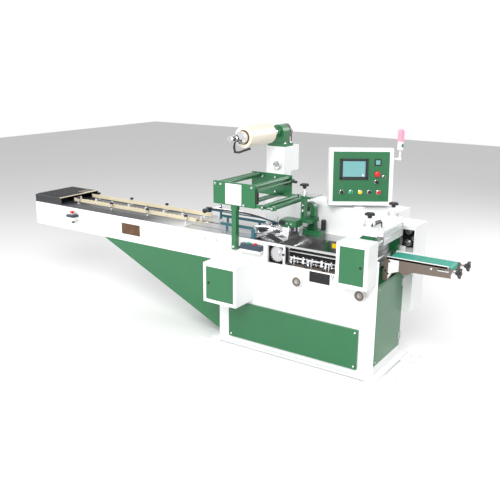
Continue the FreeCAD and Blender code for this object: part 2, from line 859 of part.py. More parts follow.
left_box = (right - left_box_left, right - left_box_right, left_box_depth, left_box_bottom,
            left_box_top, True)
right_box = (right - right_box_left, right - right_box_right, right_box_depth, right_box_bottom,
             right_box_top, False)

nodes["rear_cabinet"] = rear_cabinet()
nodes["sealer_housing"] = sealer_housing()
nodes["electrical_box"] = open_box(*left_box)
nodes["electrical_box_door"] = box_door(*left_box)
nodes["drive_box"] = open_box(*right_box)
nodes["drive_box_door"] = box_door(*right_box)


# ---- knobs and stations on the front ----


def handwheel(x, z):
    start = Vec(right - x, front - seat_gap, z)
    r = handwheel_r
    profile = [(0, 0), (14, 0), (14, 8), (r, 8), (r, 28), (r - 4, 31), (r - 7, 28), (10, 28),
               (8, 32), (0, 32)]
    return turned(profile, start, Vec(0, -1, 0))


for name, (x, z) in handwheel_places.items():
    nodes[name] = handwheel(x, z)


def run_station():
    """Two-button station: base against the body, sloping cover, and a cable gland at its end."""
    x0, x1 = right - station_left, right - station_right
    y0 = front - station_depth
    points = [(front, station_bottom), (y0 + 12, station_bottom), (y0, station_bottom + 22),
              (y0 + 10, station_top), (front, station_top)]
    shape = end_prism(points, x0, x1)
    gland = rod(Vec(x0 - 18, front - 26, station_bottom + 26), ALONG, 10, 20)
    for x in station_buttons():
        hole = rod(Vec(x, station_button_y, station_top - 8), UP, button_r + 1, 20)
        shape = shape.cut(hole)
    return shape.fuse(gland).removeSplitter()


station_button_y = front - 20.0


def station_buttons():
    middle = right - (station_left + station_right) / 2
    return (middle - 30, middle + 30)


def push_button(x):
    profile = [(0, 0), (button_r, 0), (button_r, button_height), (button_r - 3, button_height + 3),
               (0, button_height + 3)]
    return turned(profile, Vec(x, station_button_y, station_top - 8 + 4), UP)


stop_x = right - (stop_left + stop_right) / 2
stop_y = front - stop_depth / 2


def stop_station():
    x0, x1 = right - stop_left, right - stop_right
    shape = rounded(box(x0, x1, front - stop_depth, front, stop_bottom, stop_top), ACROSS, 8)
    neck = ring(Vec(stop_x, stop_y, stop_top - 1), UP, 14, 9, 9)
    gland = rod(Vec(stop_x, stop_y, stop_bottom - 22), UP, 10, 24)
    return joined(shape, neck, gland)


def stop_button():
    profile = [(0, 0), (8.5, 0), (8.5, 12), (stop_head_r, 14), (stop_head_r, 20),
               (stop_head_r - 5, 26), (0, 28)]
    return turned(profile, Vec(stop_x, stop_y, stop_top + 6), UP)


nodes["run_station"] = run_station()
for name, x in zip(("start_button", "stop_button"), station_buttons()):
    nodes[name] = push_button(x)
nodes["infeed_stop_station"] = stop_station()
nodes["infeed_stop_button"] = stop_button()


# ---- end sealer ----

nip_z = bed_top + 8.0
jaw_gap = 0.3
upper_axis_z = nip_z + jaw_gap / 2 + jaw_radius
lower_axis_z = nip_z - jaw_gap / 2 - jaw_radius
jaw_front_y = lane_y - jaw_length / 2
bearing_front_y = front + sealer_front_y
bearing_rear_y = front + sealer_rear_y
jaw_head_width = 34.0


def jaw(axis_z):
    """Rotary jaw: hub and two opposed crimping heads with grooved faces, on its shaft."""
    centre = Vec(jaw_x, jaw_front_y, axis_z)
    body = rod(centre, ACROSS, jaw_radius, jaw_length)
    heads = body.common(box(jaw_x - jaw_head_width / 2, jaw_x + jaw_head_width / 2,
                            jaw_front_y, jaw_front_y + jaw_length,
                            axis_z - jaw_radius, axis_z + jaw_radius))
    hub = rod(centre, ACROSS, jaw_radius * 0.5, jaw_length)
    shaft0 = bearing_front_y - 8
    shaft1 = bearing_rear_y + sealer_plate_thickness + 12
    shaft = rod(Vec(jaw_x, shaft0, axis_z), ACROSS, jaw_shaft_r, shaft1 - shaft0)
    return joined(heads, hub, shaft)


def end_sealer_frame():
    """Two bearing plates on a tie plate, with bores for both jaw shafts."""
    h = sealer_plate_width / 2
    z0 = end_cover_top
    tie = box(jaw_x - h, right, bearing_front_y, bearing_rear_y + sealer_plate_thickness,
              z0, z0 + tie_thickness)
    shape = tie
    for y in (bearing_front_y, bearing_rear_y):
        shoulder = 26
        points = [(jaw_x - h, z0 + tie_thickness), (jaw_x + h, z0 + tie_thickness),
                  (jaw_x + h, sealer_plate_top - shoulder),
                  (jaw_x + h - shoulder, sealer_plate_top),
                  (jaw_x - h + shoulder, sealer_plate_top), (jaw_x - h, sealer_plate_top - shoulder)]
        shape = shape.fuse(side_prism(points, y, y + sealer_plate_thickness))
    for z in (upper_axis_z, lower_axis_z):
        bore = rod(Vec(jaw_x, bearing_front_y - 1, z), ACROSS, jaw_shaft_r + bore_clearance,
                   sealer_rear_y + sealer_plate_thickness)
        shape = shape.cut(bore)
    return shape.removeSplitter()


def screw_places():
    half = sealer_plate_thickness / 2
    return (bearing_front_y + half, bearing_rear_y + half)


def sealer_bridge():
    """Blocks on both bearing plates with a cover plate between, screws, handle and guard pin."""
    h = sealer_plate_width / 2 + 8
    z0, z1 = sealer_plate_top, sealer_plate_top + bridge_height
    y0 = bearing_front_y - 10
    y1 = bearing_rear_y + sealer_plate_thickness + 10
    front_block = rounded(box(jaw_x - h, jaw_x + h, y0, y0 + 50, z0, z1), UP, 5)
    rear_block = rounded(box(jaw_x - h, jaw_x + h, y1 - 50, y1, z0, z1), UP, 5)
    cover = box(jaw_x - h, jaw_x + h, y0 + 20, y1 - 20, z0, z0 + 10)
    shape = joined(front_block, rear_block, cover)
    for y in screw_places():
        shape = shape.fuse(rod(Vec(jaw_x, y, z1), UP, 7, knob_screw))
        shape = shape.fuse(rod(Vec(jaw_x, y, z1), UP, 13, 12))
    pin_x = right - 6
    for y in (front + guard_front - 16, front + guard_rear + 6):
        ear = box(jaw_x + h - 30, pin_x + 8, y, y + 10, z0 + 2, guard_hinge_z + 8)
        shape = shape.fuse(ear)
    pin = rod(Vec(pin_x, front + guard_front - 10, guard_hinge_z), ACROSS, guard_pin_r,
              guard_rear - guard_front + 20)
    shape = shape.fuse(pin)
    # handle across the cover plate
    hx = jaw_x
    y_a, y_b = front + 100, front + 220
    for y in (y_a, y_b):
        shape = shape.fuse(box(hx - 9, hx + 9, y - 9, y + 9, z0 + 9, z0 + 50))
    grip = box(hx - 9, hx + 9, y_a - 9, y_b + 9, z0 + 40, z0 + 58)
    return shape.fuse(rounded(grip, ALONG, 8)).removeSplitter()


def sealer_guard():
    """Clear guard that hangs on its pin over the discharge side."""
    pin_x = right - 6
    y0, y1 = front + guard_front, front + guard_rear
    t = guard_thickness
    tube = ring(Vec(pin_x, y0, guard_hinge_z), ACROSS, 8, guard_pin_r + bore_clearance, y1 - y0)
    plate = box(pin_x + 8 - t, pin_x + 8, y0, y1, guard_hinge_z - guard_drop, guard_hinge_z)
    plate = plate.cut(rod(Vec(pin_x, y0 - 1, guard_hinge_z), ACROSS, 7.5, y1 - y0 + 2))
    return joined(tube, plate)


nodes["end_sealer_frame"] = end_sealer_frame()
nodes["sealer_bridge"] = sealer_bridge()
nodes["upper_jaw"] = jaw(upper_axis_z)
nodes["lower_jaw"] = jaw(lower_axis_z)
nodes["sealer_guard"] = sealer_guard()
knob_seat_z = sealer_plate_top + bridge_height + knob_screw + seat_gap
for name, y in zip(("front_sealer_knob", "rear_sealer_knob"), screw_places()):
    nodes[name] = star_knob(Vec(jaw_x, y, knob_seat_z), UP)


# ---- discharge conveyor ----

belt_outer_r = belt_roller_r + belt_thickness
belt_axis_z = belt_top - belt_outer_r
belt_x0 = right - belt_start + belt_outer_r
belt_x1 = right + belt_end - belt_outer_r
rail_gap = 5.0
rail_width = 18.0
side_y = belt_width / 2 + rail_gap + rail_width
side_plate_x0 = right + belt_end - side_plate_length
side_plate_bottom = 760.0
tension_x = right + belt_end + 8


def belt_loop(r, half):
    y0 = lane_y - half
    shape = box(belt_x0, belt_x1, y0, y0 + 2 * half, belt_axis_z - r, belt_axis_z + r)
    for x in (belt_x0, belt_x1):
        shape = shape.fuse(rod(Vec(x, y0, belt_axis_z), ACROSS, r, 2 * half))
    return shape.removeSplitter()


def discharge_belt():
    half = belt_width / 2
    return belt_loop(belt_outer_r, half).cut(belt_loop(belt_roller_r, half + 1))


def discharge_frame():
    """Rails, side plates, support brackets and the two belt rollers on their shafts."""
    z1 = belt_top + 4
    z_mid = belt_axis_z + 8
    solids = []
    for side in (-1, 1):
        ys = sorted((lane_y + side * (side_y - rail_width), lane_y + side * side_y))
        rail = box(right - belt_start, right + belt_end - 20, ys[0], ys[1], z_mid, z1)
        yp = sorted((lane_y + side * side_y, lane_y + side * (side_y + side_plate_thickness)))
        x0, x1 = side_plate_x0, right + belt_end + 5
        points = [(x0 + 24, side_plate_bottom), (x0 + 60, side_plate_bottom),
                  (x0 + 96, side_plate_bottom + 26), (x1, side_plate_bottom + 34), (x1, z1 - 12),
                  (x0, z1 - 12), (x0, side_plate_bottom + 24)]
        plate = side_prism(points, yp[0], yp[1])
        slot = rounded(box(x1 - 92, x1 - 22, yp[0] - 1, yp[1] + 1, belt_axis_z - 9, belt_axis_z + 9),
                       ACROSS, 8.9)
        lug = box(x1, tension_x, ys[0], yp[1] if side > 0 else ys[1], belt_axis_z - 14,
                  belt_axis_z + 14)
        if side < 0:
            lug = box(x1, tension_x, yp[0], ys[1], belt_axis_z - 14, belt_axis_z + 14)
        bracket_left = jaw_x + jaw_radius + jaw_clearance
        bracket = side_prism([(bracket_left, end_cover_top + tie_thickness),
                              (right, end_cover_top + tie_thickness), (right + 30, 752),
                              (x0 + 40, side_plate_bottom + 30), (x0 + 40, z1 - 12),
                              (bracket_left, z1 - 12)], ys[0], ys[1])
        screw = rod(Vec(x1, lane_y + side * side_y, belt_axis_z), ALONG, 6, 30)
        solids += [rail, plate.cut(slot), lug, bracket, screw]
    for x in (belt_x0, belt_x1):
        length = 2 * side_y + 2 * side_plate_thickness
        solids.append(rod(Vec(x, lane_y - length / 2, belt_axis_z), ACROSS, 9, length))
        solids.append(rod(Vec(x, lane_y - belt_width / 2 - 2, belt_axis_z), ACROSS,
                          belt_roller_r, belt_width + 4))
    return joined(*solids)


nodes["discharge_frame"] = discharge_frame()
nodes["discharge_belt"] = discharge_belt()
for name, side in (("front_tension_knob", -1), ("rear_tension_knob", 1)):
    seat = Vec(right + belt_end + 35 + seat_gap, lane_y + side * side_y, belt_axis_z)
    nodes[name] = star_knob(seat, ALONG)


# ---- control panel and signal lamp ----

swivel_r = 30.0
swivel_flange_r = 52.0
swivel_flange = 8.0
lamp_out = 48.0           # panel's side to the lamp's axis
lamp_back = 60.0
lamp_elbow = 341.0        # above the panel's bottom
lamp_base_r = 22.0
lamp_base_bottom = 408.0
lamp_base_top = 466.0
lamp_r = 23.0
lamp_top = 560.0

yaw = FreeCAD.Rotation(UP, panel_yaw)
panel_origin = Vec(right - panel_centre, front + panel_front, panel_bottom)
upright = FreeCAD.Placement(panel_origin, yaw)
tilted = FreeCAD.Placement(panel_origin, yaw.multiply(FreeCAD.Rotation(ALONG, -panel_tilt)))
swivel = upright.multVec(Vec(0, panel_depth / 2, 0))


def placed(shape, placement):
    shape.Placement = placement
    return shape


def panel_stand():
    base = rod(Vec(swivel.x, swivel.y, cabinet_top), UP, swivel_flange_r, swivel_flange)
    return base.makeChamfer(2, [base.Edges[0]])


def control_box():
    w = panel_width / 2
    shape = rounded(box(-w, w, 0, panel_depth, 0, panel_height), ACROSS, 10)
    recess = box(-w + panel_rim, w - panel_rim, -1, 4, panel_rim, panel_height - panel_rim)
    shape = placed(shape.cut(recess), tilted)
    neck_bottom = cabinet_top + swivel_flange + seat_gap
    neck = rod(Vec(swivel.x, swivel.y, neck_bottom), UP, swivel_r,
               panel_bottom + 6 - neck_bottom)
    x = w + lamp_out
    arm = box(w, x, lamp_back - 8, lamp_back + 8, lamp_elbow - 6, lamp_elbow + 6)
    elbow = Part.makeSphere(14, Vec(x, lamp_back, lamp_elbow))
    stem = rod(Vec(x, lamp_back, lamp_elbow), UP, 7, lamp_base_bottom - lamp_elbow)
    base = rod(Vec(x, lamp_back, lamp_base_bottom), UP, lamp_base_r,
               lamp_base_top - lamp_base_bottom)
    lamp_foot = placed(joined(arm, elbow, stem, base), upright)
    return joined(shape, neck, lamp_foot)


def signal_lamp():
    profile = [(0, lamp_base_top), (lamp_r, lamp_base_top), (lamp_r, lamp_top - 12),
               (lamp_r - 5, lamp_top - 3), (0, lamp_top)]
    shape = turned(profile, Vec(0, 0, 0), UP)
    shape.translate(Vec(panel_width / 2 + lamp_out, lamp_back, 0))
    holder = Part.makeCompound([shape])
    return placed(holder, upright)


def control_face():
    """Green face plate in the rim, with the screen bezel and the operating elements on it."""
    w = panel_width / 2 - panel_rim - 1
    z0, z1 = panel_rim + 1, panel_height - panel_rim - 1
    shape = box(-w, w, 1, 4, z0, z1)
    shape = shape.fuse(rounded(box(-159, 51, -4, 1, 190, 344), ACROSS, 4))
    shape = shape.fuse(box(97, 145, -5, 1, 294, 342))
    shape = shape.fuse(rod(Vec(118, 1, 232), Vec(0, -1, 0), 13, 12))
    shape = shape.fuse(rod(Vec(118, -11, 232), Vec(0, -1, 0), 21, 9))
    shape = shape.fuse(rod(Vec(116, 1, 174), Vec(0, -1, 0), 13, 14))
    shape = shape.fuse(rod(Vec(168, 1, 212), Vec(0, -1, 0), 9, 6))
    for i in range(5):
        shape = shape.fuse(rod(Vec(-141 + i * 68.5, 1, 98), Vec(0, -1, 0), 14, 10))
    return placed(Part.makeCompound([shape.removeSplitter()]), tilted)


nodes["panel_stand"] = panel_stand()
nodes["control_box"] = control_box()
nodes["control_face"] = control_face()
nodes["signal_lamp"] = signal_lamp()


# ---- one file per node ----

os.makedirs("parts", exist_ok=True)
for name, shape in nodes.items():
    shape.exportStep("parts/" + name + ".step")
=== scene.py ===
import bpy
import bmesh
import json
import math
from mathutils import Matrix, Vector


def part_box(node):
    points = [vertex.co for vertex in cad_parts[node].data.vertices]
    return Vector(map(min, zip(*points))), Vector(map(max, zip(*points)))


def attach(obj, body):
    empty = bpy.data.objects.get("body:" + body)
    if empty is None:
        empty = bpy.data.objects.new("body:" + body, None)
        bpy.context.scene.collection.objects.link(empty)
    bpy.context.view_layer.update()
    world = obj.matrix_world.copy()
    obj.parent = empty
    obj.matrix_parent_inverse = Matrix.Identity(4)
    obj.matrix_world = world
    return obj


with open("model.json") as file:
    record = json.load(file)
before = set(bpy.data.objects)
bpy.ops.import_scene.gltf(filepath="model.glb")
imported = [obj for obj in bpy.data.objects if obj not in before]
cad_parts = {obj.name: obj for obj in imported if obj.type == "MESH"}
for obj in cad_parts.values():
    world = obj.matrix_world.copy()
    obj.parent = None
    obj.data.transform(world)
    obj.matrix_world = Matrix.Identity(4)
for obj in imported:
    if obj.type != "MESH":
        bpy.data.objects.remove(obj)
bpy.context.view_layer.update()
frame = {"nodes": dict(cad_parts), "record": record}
nodes = frame["nodes"]


# camera and lamps
view = {
    "place": (2.2744, -4.2513, 2.150),
    "tilt": 74.01,
    "turn": 33.674,
    "roll": 0.393,
    "lens": 47.78,
}
studio = {
    "lamps": {  # place, target, power, size
        "keyLamp": ((1.5, -4.5, 4.5), (-0.3, 0, 0.8), 330, 3.0),
        "fillLamp": ((-4.5, -3.5, 3.0), (-0.8, 0, 0.8), 150, 3.5),
        "rimLamp": ((2.5, 4.0, 3.5), (0, 0, 0.8), 120, 3.0),
    },
    "worldStrength": 0.62,
    "floorTones": (0.80, 0.84),
    "floorReach": 14,
}


def addCamera():
    camera = bpy.data.objects.new("camera", bpy.data.cameras.new("camera"))
    bpy.context.scene.collection.objects.link(camera)
    turn = Matrix.Rotation(math.radians(view["turn"]), 4, "Z")
    tilt = Matrix.Rotation(math.radians(view["tilt"]), 4, "X")
    roll = Matrix.Rotation(math.radians(view["roll"]), 4, "Z")
    camera.matrix_world = Matrix.Translation(view["place"]) @ turn @ tilt @ roll
    camera.data.lens = view["lens"]
    camera.data.clip_end = 60
    bpy.context.scene.camera = camera


def addLamp(name, place, target, power, size):
    lamp = bpy.data.objects.new(name, bpy.data.lights.new(name, "AREA"))
    bpy.context.scene.collection.objects.link(lamp)
    lamp.data.energy = power
    lamp.data.size = size
    lamp.location = place
    lamp.rotation_euler = (Vector(target) - Vector(place)).to_track_quat("-Z", "Y").to_euler()


addCamera()
for lampName, lampSettings in studio["lamps"].items():
    addLamp(lampName, *lampSettings)
bpy.context.scene.view_settings.view_transform = "Standard"
print("camera and lamps are set")


# shader maths
class Wire:
    def __init__(self, finish, socket):
        self.finish = finish
        self.socket = socket

    def maths(self, operation, a, b):
        return self.finish.node("ShaderNodeMath", {"operation": operation}, {0: a, 1: b})

    def __add__(self, other):
        return self.maths("ADD", self, other)

    def __radd__(self, other):
        return self.maths("ADD", other, self)

    def __sub__(self, other):
        return self.maths("SUBTRACT", self, other)

    def __rsub__(self, other):
        return self.maths("SUBTRACT", other, self)

    def __mul__(self, other):
        return self.maths("MULTIPLY", self, other)

    def __rmul__(self, other):
        return self.maths("MULTIPLY", other, self)


class Finish:
    def __init__(self, name):
        self.material = bpy.data.materials.new(name)
        self.material.use_nodes = True
        self.tree = self.material.node_tree
        self.tree.nodes.clear()
        self.place = self.node("ShaderNodeTexCoord", {}, {}, "Object")

    def node(self, kind, settings, sockets, out=0):
        made = self.tree.nodes.new(kind)
        for key, value in settings.items():
            setattr(made, key, value)
        for key, value in sockets.items():
            if isinstance(value, Wire):
                self.tree.links.new(value.socket, made.inputs[key])
            else:
                made.inputs[key].default_value = value
        return Wire(self, made.outputs[out])

    def noise(self, scale, detail=4.0, stretch=(1, 1, 1)):
        scaled = self.node("ShaderNodeMapping", {}, {"Vector": self.place, "Scale": stretch})
        return self.node("ShaderNodeTexNoise", {}, {"Vector": scaled, "Scale": scale, "Detail": detail}, "Fac")

    def blend(self, factor, low, high):
        sockets = {0: factor, 6: low, 7: high}
        return self.node("ShaderNodeMix", {"data_type": "RGBA"}, sockets, 2)

    def edges(self):
        # mask for painted shade where two faces meet, from the bevelled normal against the true one
        bevelled = self.node("ShaderNodeBevel", {"samples": 4}, {"Radius": 0.004})
        true = self.node("ShaderNodeNewGeometry", {}, {}, "Normal")
        same = self.node("ShaderNodeVectorMath", {"operation": "DOT_PRODUCT"}, {0: bevelled, 1: true}, "Value")
        return (1 - same) * 3.0

    def finishWith(self, sockets, bump=None, depth=0.0004):
        shader = self.tree.nodes.new("ShaderNodeBsdfPrincipled")
        for key, value in sockets.items():
            if isinstance(value, Wire):
                self.tree.links.new(value.socket, shader.inputs[key])
            else:
                shader.inputs[key].default_value = value
        if bump is not None:
            normal = self.node("ShaderNodeBump", {}, {"Height": bump, "Strength": 0.5, "Distance": depth})
            self.tree.links.new(normal.socket, shader.inputs["Normal"])
        output = self.tree.nodes.new("ShaderNodeOutputMaterial")
        self.tree.links.new(shader.outputs[0], output.inputs["Surface"])
        return self.material


def shade(colour, factor):
    return (colour[0] * factor, colour[1] * factor, colour[2] * factor, 1.0)


# finishes
def paintFinish(name, colour, roughness=0.35, coat=0.25, dust=0.9, peel=260):
    f = Finish(name)
    cloud = f.noise(3.0)
    tone = f.blend(cloud, shade(colour, dust), shade(colour, 1.0))
    # painted shade: the paint colour is darkened along edges and creases
    base = f.blend(f.edges() * 0.35, tone, shade(colour, 0.72))
    rough = f.noise(18.0) * 0.16 + (roughness - 0.08)
    sockets = {"Base Color": base, "Roughness": rough, "Coat Weight": coat, "Coat Roughness": 0.15}
    return f.finishWith(sockets, f.noise(peel, 2.0), 0.0003)


def metalFinish(name, colour, roughness=0.25, stretch=(1, 40, 1), depth=0.0002):
    f = Finish(name)
    grain = f.noise(60.0, 3.0, stretch)
    base = f.blend(grain, shade(colour, 0.82), shade(colour, 1.05))
    rough = grain * 0.2 + (roughness - 0.06)
    return f.finishWith({"Base Color": base, "Metallic": 1.0, "Roughness": rough}, grain, depth)


def plasticFinish(name, colour, roughness=0.45, grainSize=900, light=1.25):
    f = Finish(name)
    cloud = f.noise(9.0)
    base = f.blend(cloud, shade(colour, 0.85), shade(colour, light))
    rough = f.noise(40.0) * 0.14 + (roughness - 0.07)
    return f.finishWith({"Base Color": base, "Roughness": rough}, f.noise(grainSize, 1.0), 0.0002)


def filmFinish():
    f = Finish("filmRoll")
    layers = f.noise(30.0, 6.0, (14, 0.02, 14))
    bands = f.noise(6.0, 2.0, (0.3, 9, 0.3))
    tone = f.blend(layers, (0.62, 0.54, 0.42, 1), (0.80, 0.74, 0.62, 1))
    base = f.blend(bands * 0.4, tone, (0.86, 0.81, 0.70, 1))
    sockets = {"Base Color": base, "Roughness": bands * 0.25 + 0.28, "Coat Weight": 0.4}
    return f.finishWith(sockets, layers, 0.0006)


def beltFinish():
    f = Finish("tealBelt")
    weaveX = f.node("ShaderNodeTexWave", {"bands_direction": "X"}, {"Vector": f.place, "Scale": 160.0})
    weaveY = f.node("ShaderNodeTexWave", {"bands_direction": "Y"}, {"Vector": f.place, "Scale": 160.0})
    wear = f.noise(7.0, 5.0, (0.4, 3, 1))
    base = f.blend(wear, (0.01, 0.22, 0.16, 1), (0.02, 0.36, 0.26, 1))
    return f.finishWith({"Base Color": base, "Roughness": wear * 0.2 + 0.4}, weaveX * weaveY, 0.0004)


def bedFinish():
    f = Finish("bedSteel")
    split = f.node("ShaderNodeSeparateXYZ", {}, {"Vector": f.place}, "X")
    polished = f.node("ShaderNodeMapRange", {}, {"Value": split, "From Min": -1.45, "From Max": -1.05})
    scuff = f.noise(25.0, 5.0, (0.15, 6, 1))
    dark = f.blend(scuff, (0.03, 0.033, 0.04, 1), (0.09, 0.095, 0.11, 1))
    bright = f.blend(scuff, (0.42, 0.42, 0.43, 1), (0.72, 0.72, 0.73, 1))
    base = f.blend(polished, dark, bright)
    sockets = {"Base Color": base, "Metallic": polished * 0.9, "Roughness": scuff * 0.25 + 0.22}
    return f.finishWith(sockets, scuff, 0.0003)


def clearFinish():
    f = Finish("clearGuard")
    haze = f.noise(14.0)
    base = f.blend(haze, (0.80, 0.84, 0.84, 1), (0.95, 0.97, 0.97, 1))
    return f.finishWith({"Base Color": base, "Roughness": haze * 0.15 + 0.05, "Alpha": haze * 0.15 + 0.30})


def screenFinish():
    f = Finish("screenGlass")
    glow = f.noise(6.0, 2.0)
    base = f.blend(glow, (0.10, 0.27, 0.28, 1), (0.17, 0.37, 0.37, 1))
    return f.finishWith({"Base Color": base, "Emission Color": base, "Emission Strength": 0.25,
                         "Roughness": glow * 0.1 + 0.1})


def lampFinish():
    f = Finish("lampLens")
    ribs = f.node("ShaderNodeTexWave", {"bands_direction": "Z"}, {"Vector": f.place, "Scale": 40.0})
    base = f.blend(ribs, (0.80, 0.12, 0.22, 1), (0.92, 0.42, 0.55, 1))
    sockets = {"Base Color": base, "Roughness": ribs * 0.1 + 0.12, "Emission Color": base,
               "Emission Strength": 0.25, "Coat Weight": 0.6}
    return f.finishWith(sockets, ribs, 0.0006)


def plateFinish():
    f = Finish("bronzePlate")
    age = f.noise(22.0, 6.0)
    base = f.blend(age, (0.045, 0.022, 0.012, 1), (0.20, 0.11, 0.055, 1))
    return f.finishWith({"Base Color": base, "Metallic": 0.5, "Roughness": age * 0.3 + 0.35}, age, 0.0005)


green = (0.012, 0.145, 0.048)
finishes = {
    "white_paint": paintFinish("whitePaint", (0.80, 0.81, 0.81), 0.38, 0.2, 0.96),
    "green_paint": paintFinish("greenPaint", green, 0.32, 0.35, 0.82),
    "black_paint": paintFinish("blackPaint", (0.018, 0.02, 0.024), 0.42, 0.15, 0.7),
    "taupe_paint": paintFinish("taupePaint", (0.16, 0.125, 0.10), 0.42, 0.1, 0.8),
    "dark_bed": bedFinish(),
    "steel": metalFinish("brushedSteel", (0.62, 0.62, 0.63), 0.28),
    "chrome": metalFinish("chromePlate", (0.80, 0.80, 0.82), 0.12, (1, 4, 1), 0.00005),
    "black_plastic": plasticFinish("blackPlastic", (0.012, 0.012, 0.014), 0.38),
    "white_plastic": plasticFinish("whitePlastic", (0.72, 0.72, 0.70), 0.4, 900, 1.05),
    "cream_plastic": plasticFinish("creamPlastic", (0.66, 0.59, 0.42), 0.42, 900, 1.1),
    "teal_plastic": plasticFinish("tealPlastic", (0.012, 0.10, 0.13), 0.35),
    "navy_plastic": plasticFinish("navyPlastic", (0.012, 0.03, 0.05), 0.35),
    "green_plastic": plasticFinish("greenButton", (0.01, 0.28, 0.13), 0.25),
    "red_plastic": plasticFinish("redButton", (0.62, 0.015, 0.02), 0.25, 900, 1.1),
    "red_lamp": lampFinish(),
    "clear_plastic": clearFinish(),
    "film": filmFinish(),
    "teal_belt": beltFinish(),
}
extras = {
    "screen": screenFinish(),
    "bezel": plasticFinish("screenBezel", (0.015, 0.018, 0.022), 0.3),
    "yellow": plasticFinish("yellowButton", (0.85, 0.62, 0.01), 0.3, 900, 1.1),
    "plate": plateFinish(),
    "core": plasticFinish("cardCore", (0.10, 0.045, 0.022), 0.7),
    "redBelt": plasticFinish("brakeBand", (0.16, 0.008, 0.012), 0.5),
    # painted shade: near-black matte finish for sheets and blocks that stand for shade in openings
    "blackGap": plasticFinish("paintedShadeOpening", (0.004, 0.004, 0.005), 0.7),
    "paper": plasticFinish("barePaper", (0.78, 0.76, 0.80), 0.5, 300, 1.04),
}
for entry in frame["record"]["subparts"]:
    cadPiece = nodes[entry["node"]]
    cadPiece.data.materials.clear()
    cadPiece.data.materials.append(finishes[entry["material_slot"]])
print("finishes are made")


# mesh helpers
def addPiece(name, mesh, finish, slotName=None, body="machine", smooth=False, bevel=0.0):
    data = bpy.data.meshes.new(name)
    mesh.to_mesh(data)
    mesh.free()
    piece = bpy.data.objects.new(name, data)
    bpy.context.scene.collection.objects.link(piece)
    data.materials.append(finishes[finish] if finish in finishes else extras[finish])
    if smooth:
        for face in data.polygons:
            face.use_smooth = True
    if bevel > 0:
        softened = piece.modifiers.new("softened", "BEVEL")
        softened.width = bevel
        softened.segments = 2
        softened.limit_method = "ANGLE"
    if smooth:
        split = piece.modifiers.new("split", "EDGE_SPLIT")
        split.split_angle = math.radians(40)
    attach(piece, body)
    slotName or finish in finishes
    return piece


def addBlock(mesh, low, high, turn=None):
    corners = []
    for x in (low[0], high[0]):
        for y in (low[1], high[1]):
            for z in (low[2], high[2]):
                point = Vector((x, y, z))
                corners.append(mesh.verts.new(turn @ point if turn else point))
    for a, b, c, d in ((0, 1, 3, 2), (4, 6, 7, 5), (0, 4, 5, 1), (2, 3, 7, 6), (0, 2, 6, 4), (1, 5, 7, 3)):
        mesh.faces.new((corners[a], corners[b], corners[c], corners[d]))


def addTurned(mesh, profile, start, axis, sides=32, turn=None):
    # profile: (radius, distance along the axis)
    spin = Vector(axis).normalized().to_track_quat("Z", "X").to_matrix().to_4x4()
    place = Matrix.Translation(start) @ spin
    if turn:
        place = turn @ place
    rings = []
    for radius, height in profile:
        count = sides if radius > 1e-6 else 1
        loop = []
        for i in range(count):
            a = 2 * math.pi * i / count
            loop.append(mesh.verts.new(place @ Vector((radius * math.cos(a), radius * math.sin(a), height))))
        rings.append(loop)
    for lower, upper in zip(rings, rings[1:]):
        for i in range(sides):
            j = (i + 1) % sides
            ends = [lower[i % len(lower)], lower[j % len(lower)], upper[j % len(upper)], upper[i % len(upper)]]
            unique = list(dict.fromkeys(ends))
            if len(unique) > 2:
                mesh.faces.new(unique)


def addTube(mesh, points, radius, sides=10):
    # round bar along a chain of points
    rings = []
    for i, point in enumerate(points):
        before = Vector(points[max(i - 1, 0)])
        after = Vector(points[min(i + 1, len(points) - 1)])
        spin = (after - before).to_track_quat("Z", "Y").to_matrix()
        loop = []
        for k in range(sides):
            a = 2 * math.pi * k / sides
            offset = spin @ Vector((radius * math.cos(a), radius * math.sin(a), 0))
            loop.append(mesh.verts.new(Vector(point) + offset))
        rings.append(loop)
    for lower, upper in zip(rings, rings[1:]):
        for k in range(sides):
            mesh.faces.new((lower[k], lower[(k + 1) % sides], upper[(k + 1) % sides], upper[k]))
    mesh.faces.new(list(reversed(rings[0])))
    mesh.faces.new(rings[-1])


def addBolt(mesh, place, axis, radius=0.008, height=0.006, turn=None):
    # round head with a hexagon recess
    r, h = radius, height
    addTurned(mesh, [(0, 0), (r, 0), (r, h * 0.7), (r * 0.82, h), (r * 0.5, h)], place, axis, 20, turn)
    addTurned(mesh, [(r * 0.5, h), (r * 0.46, h * 0.35), (0, h * 0.35)], place, axis, 6, turn)


def centre(name):
    low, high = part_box(name)
    return (low + high) / 2


print("starting on the pieces")


# body: front face, covers, bay
bodyLow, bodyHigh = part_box("main_housing")
frontY = bodyLow.y
rightX = bodyHigh.x
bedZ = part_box("infeed_bed")[1].z
laneY = (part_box("film_former")[0].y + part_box("film_former")[1].y) / 2
toFront = (0, -1, 0)
toRight = (1, 0, 0)
up = (0, 0, 1)

bodyTrim = {
    "coverInset": 0.022,
    "coverScrew": (0.007, 0.004),
    "endScrew": (0.006, 0.004),
    "boltColumns": (-1.447, -1.340),
    "boltRows": (0.812, 0.708),
    "boltSize": (0.011, 0.009),
    "plate": (-2.345, 0.716, -2.140, 0.809),  # left, bottom, right, top
    "plateRim": 0.005,
    "bayLeft": -0.727,
    "bayRight": -0.310,
    "bayBottom": 0.722,
    "bayDepth": 0.076,
    "backThick": 0.003,
    "hatch": (-0.521, 0.633, -0.357, 0.712),
    "hatchHoles": ((0.012, -0.006), (0.028, -0.010), (0.021, -0.024)),
    "hatchHole": ((0, 0), (0.0045, 0), (0.0045, 0.002), (0, 0.002)),
    "gearMargin": 0.02,
    "gearDepth": 0.040,
    "hingeInset": 0.08,
    "hingePin": ((0, 0), (0.006, 0), (0.006, 0.06), (0, 0.06)),
}


def rimStrips(x0, z0, x1, z1, bottom, top, side):
    return (((x0, z0), (x1, z0 + bottom)), ((x0, z1 - top), (x1, z1)),
            ((x0, z0), (x0 + side, z1)), ((x1 - side, z0), (x1, z1)))


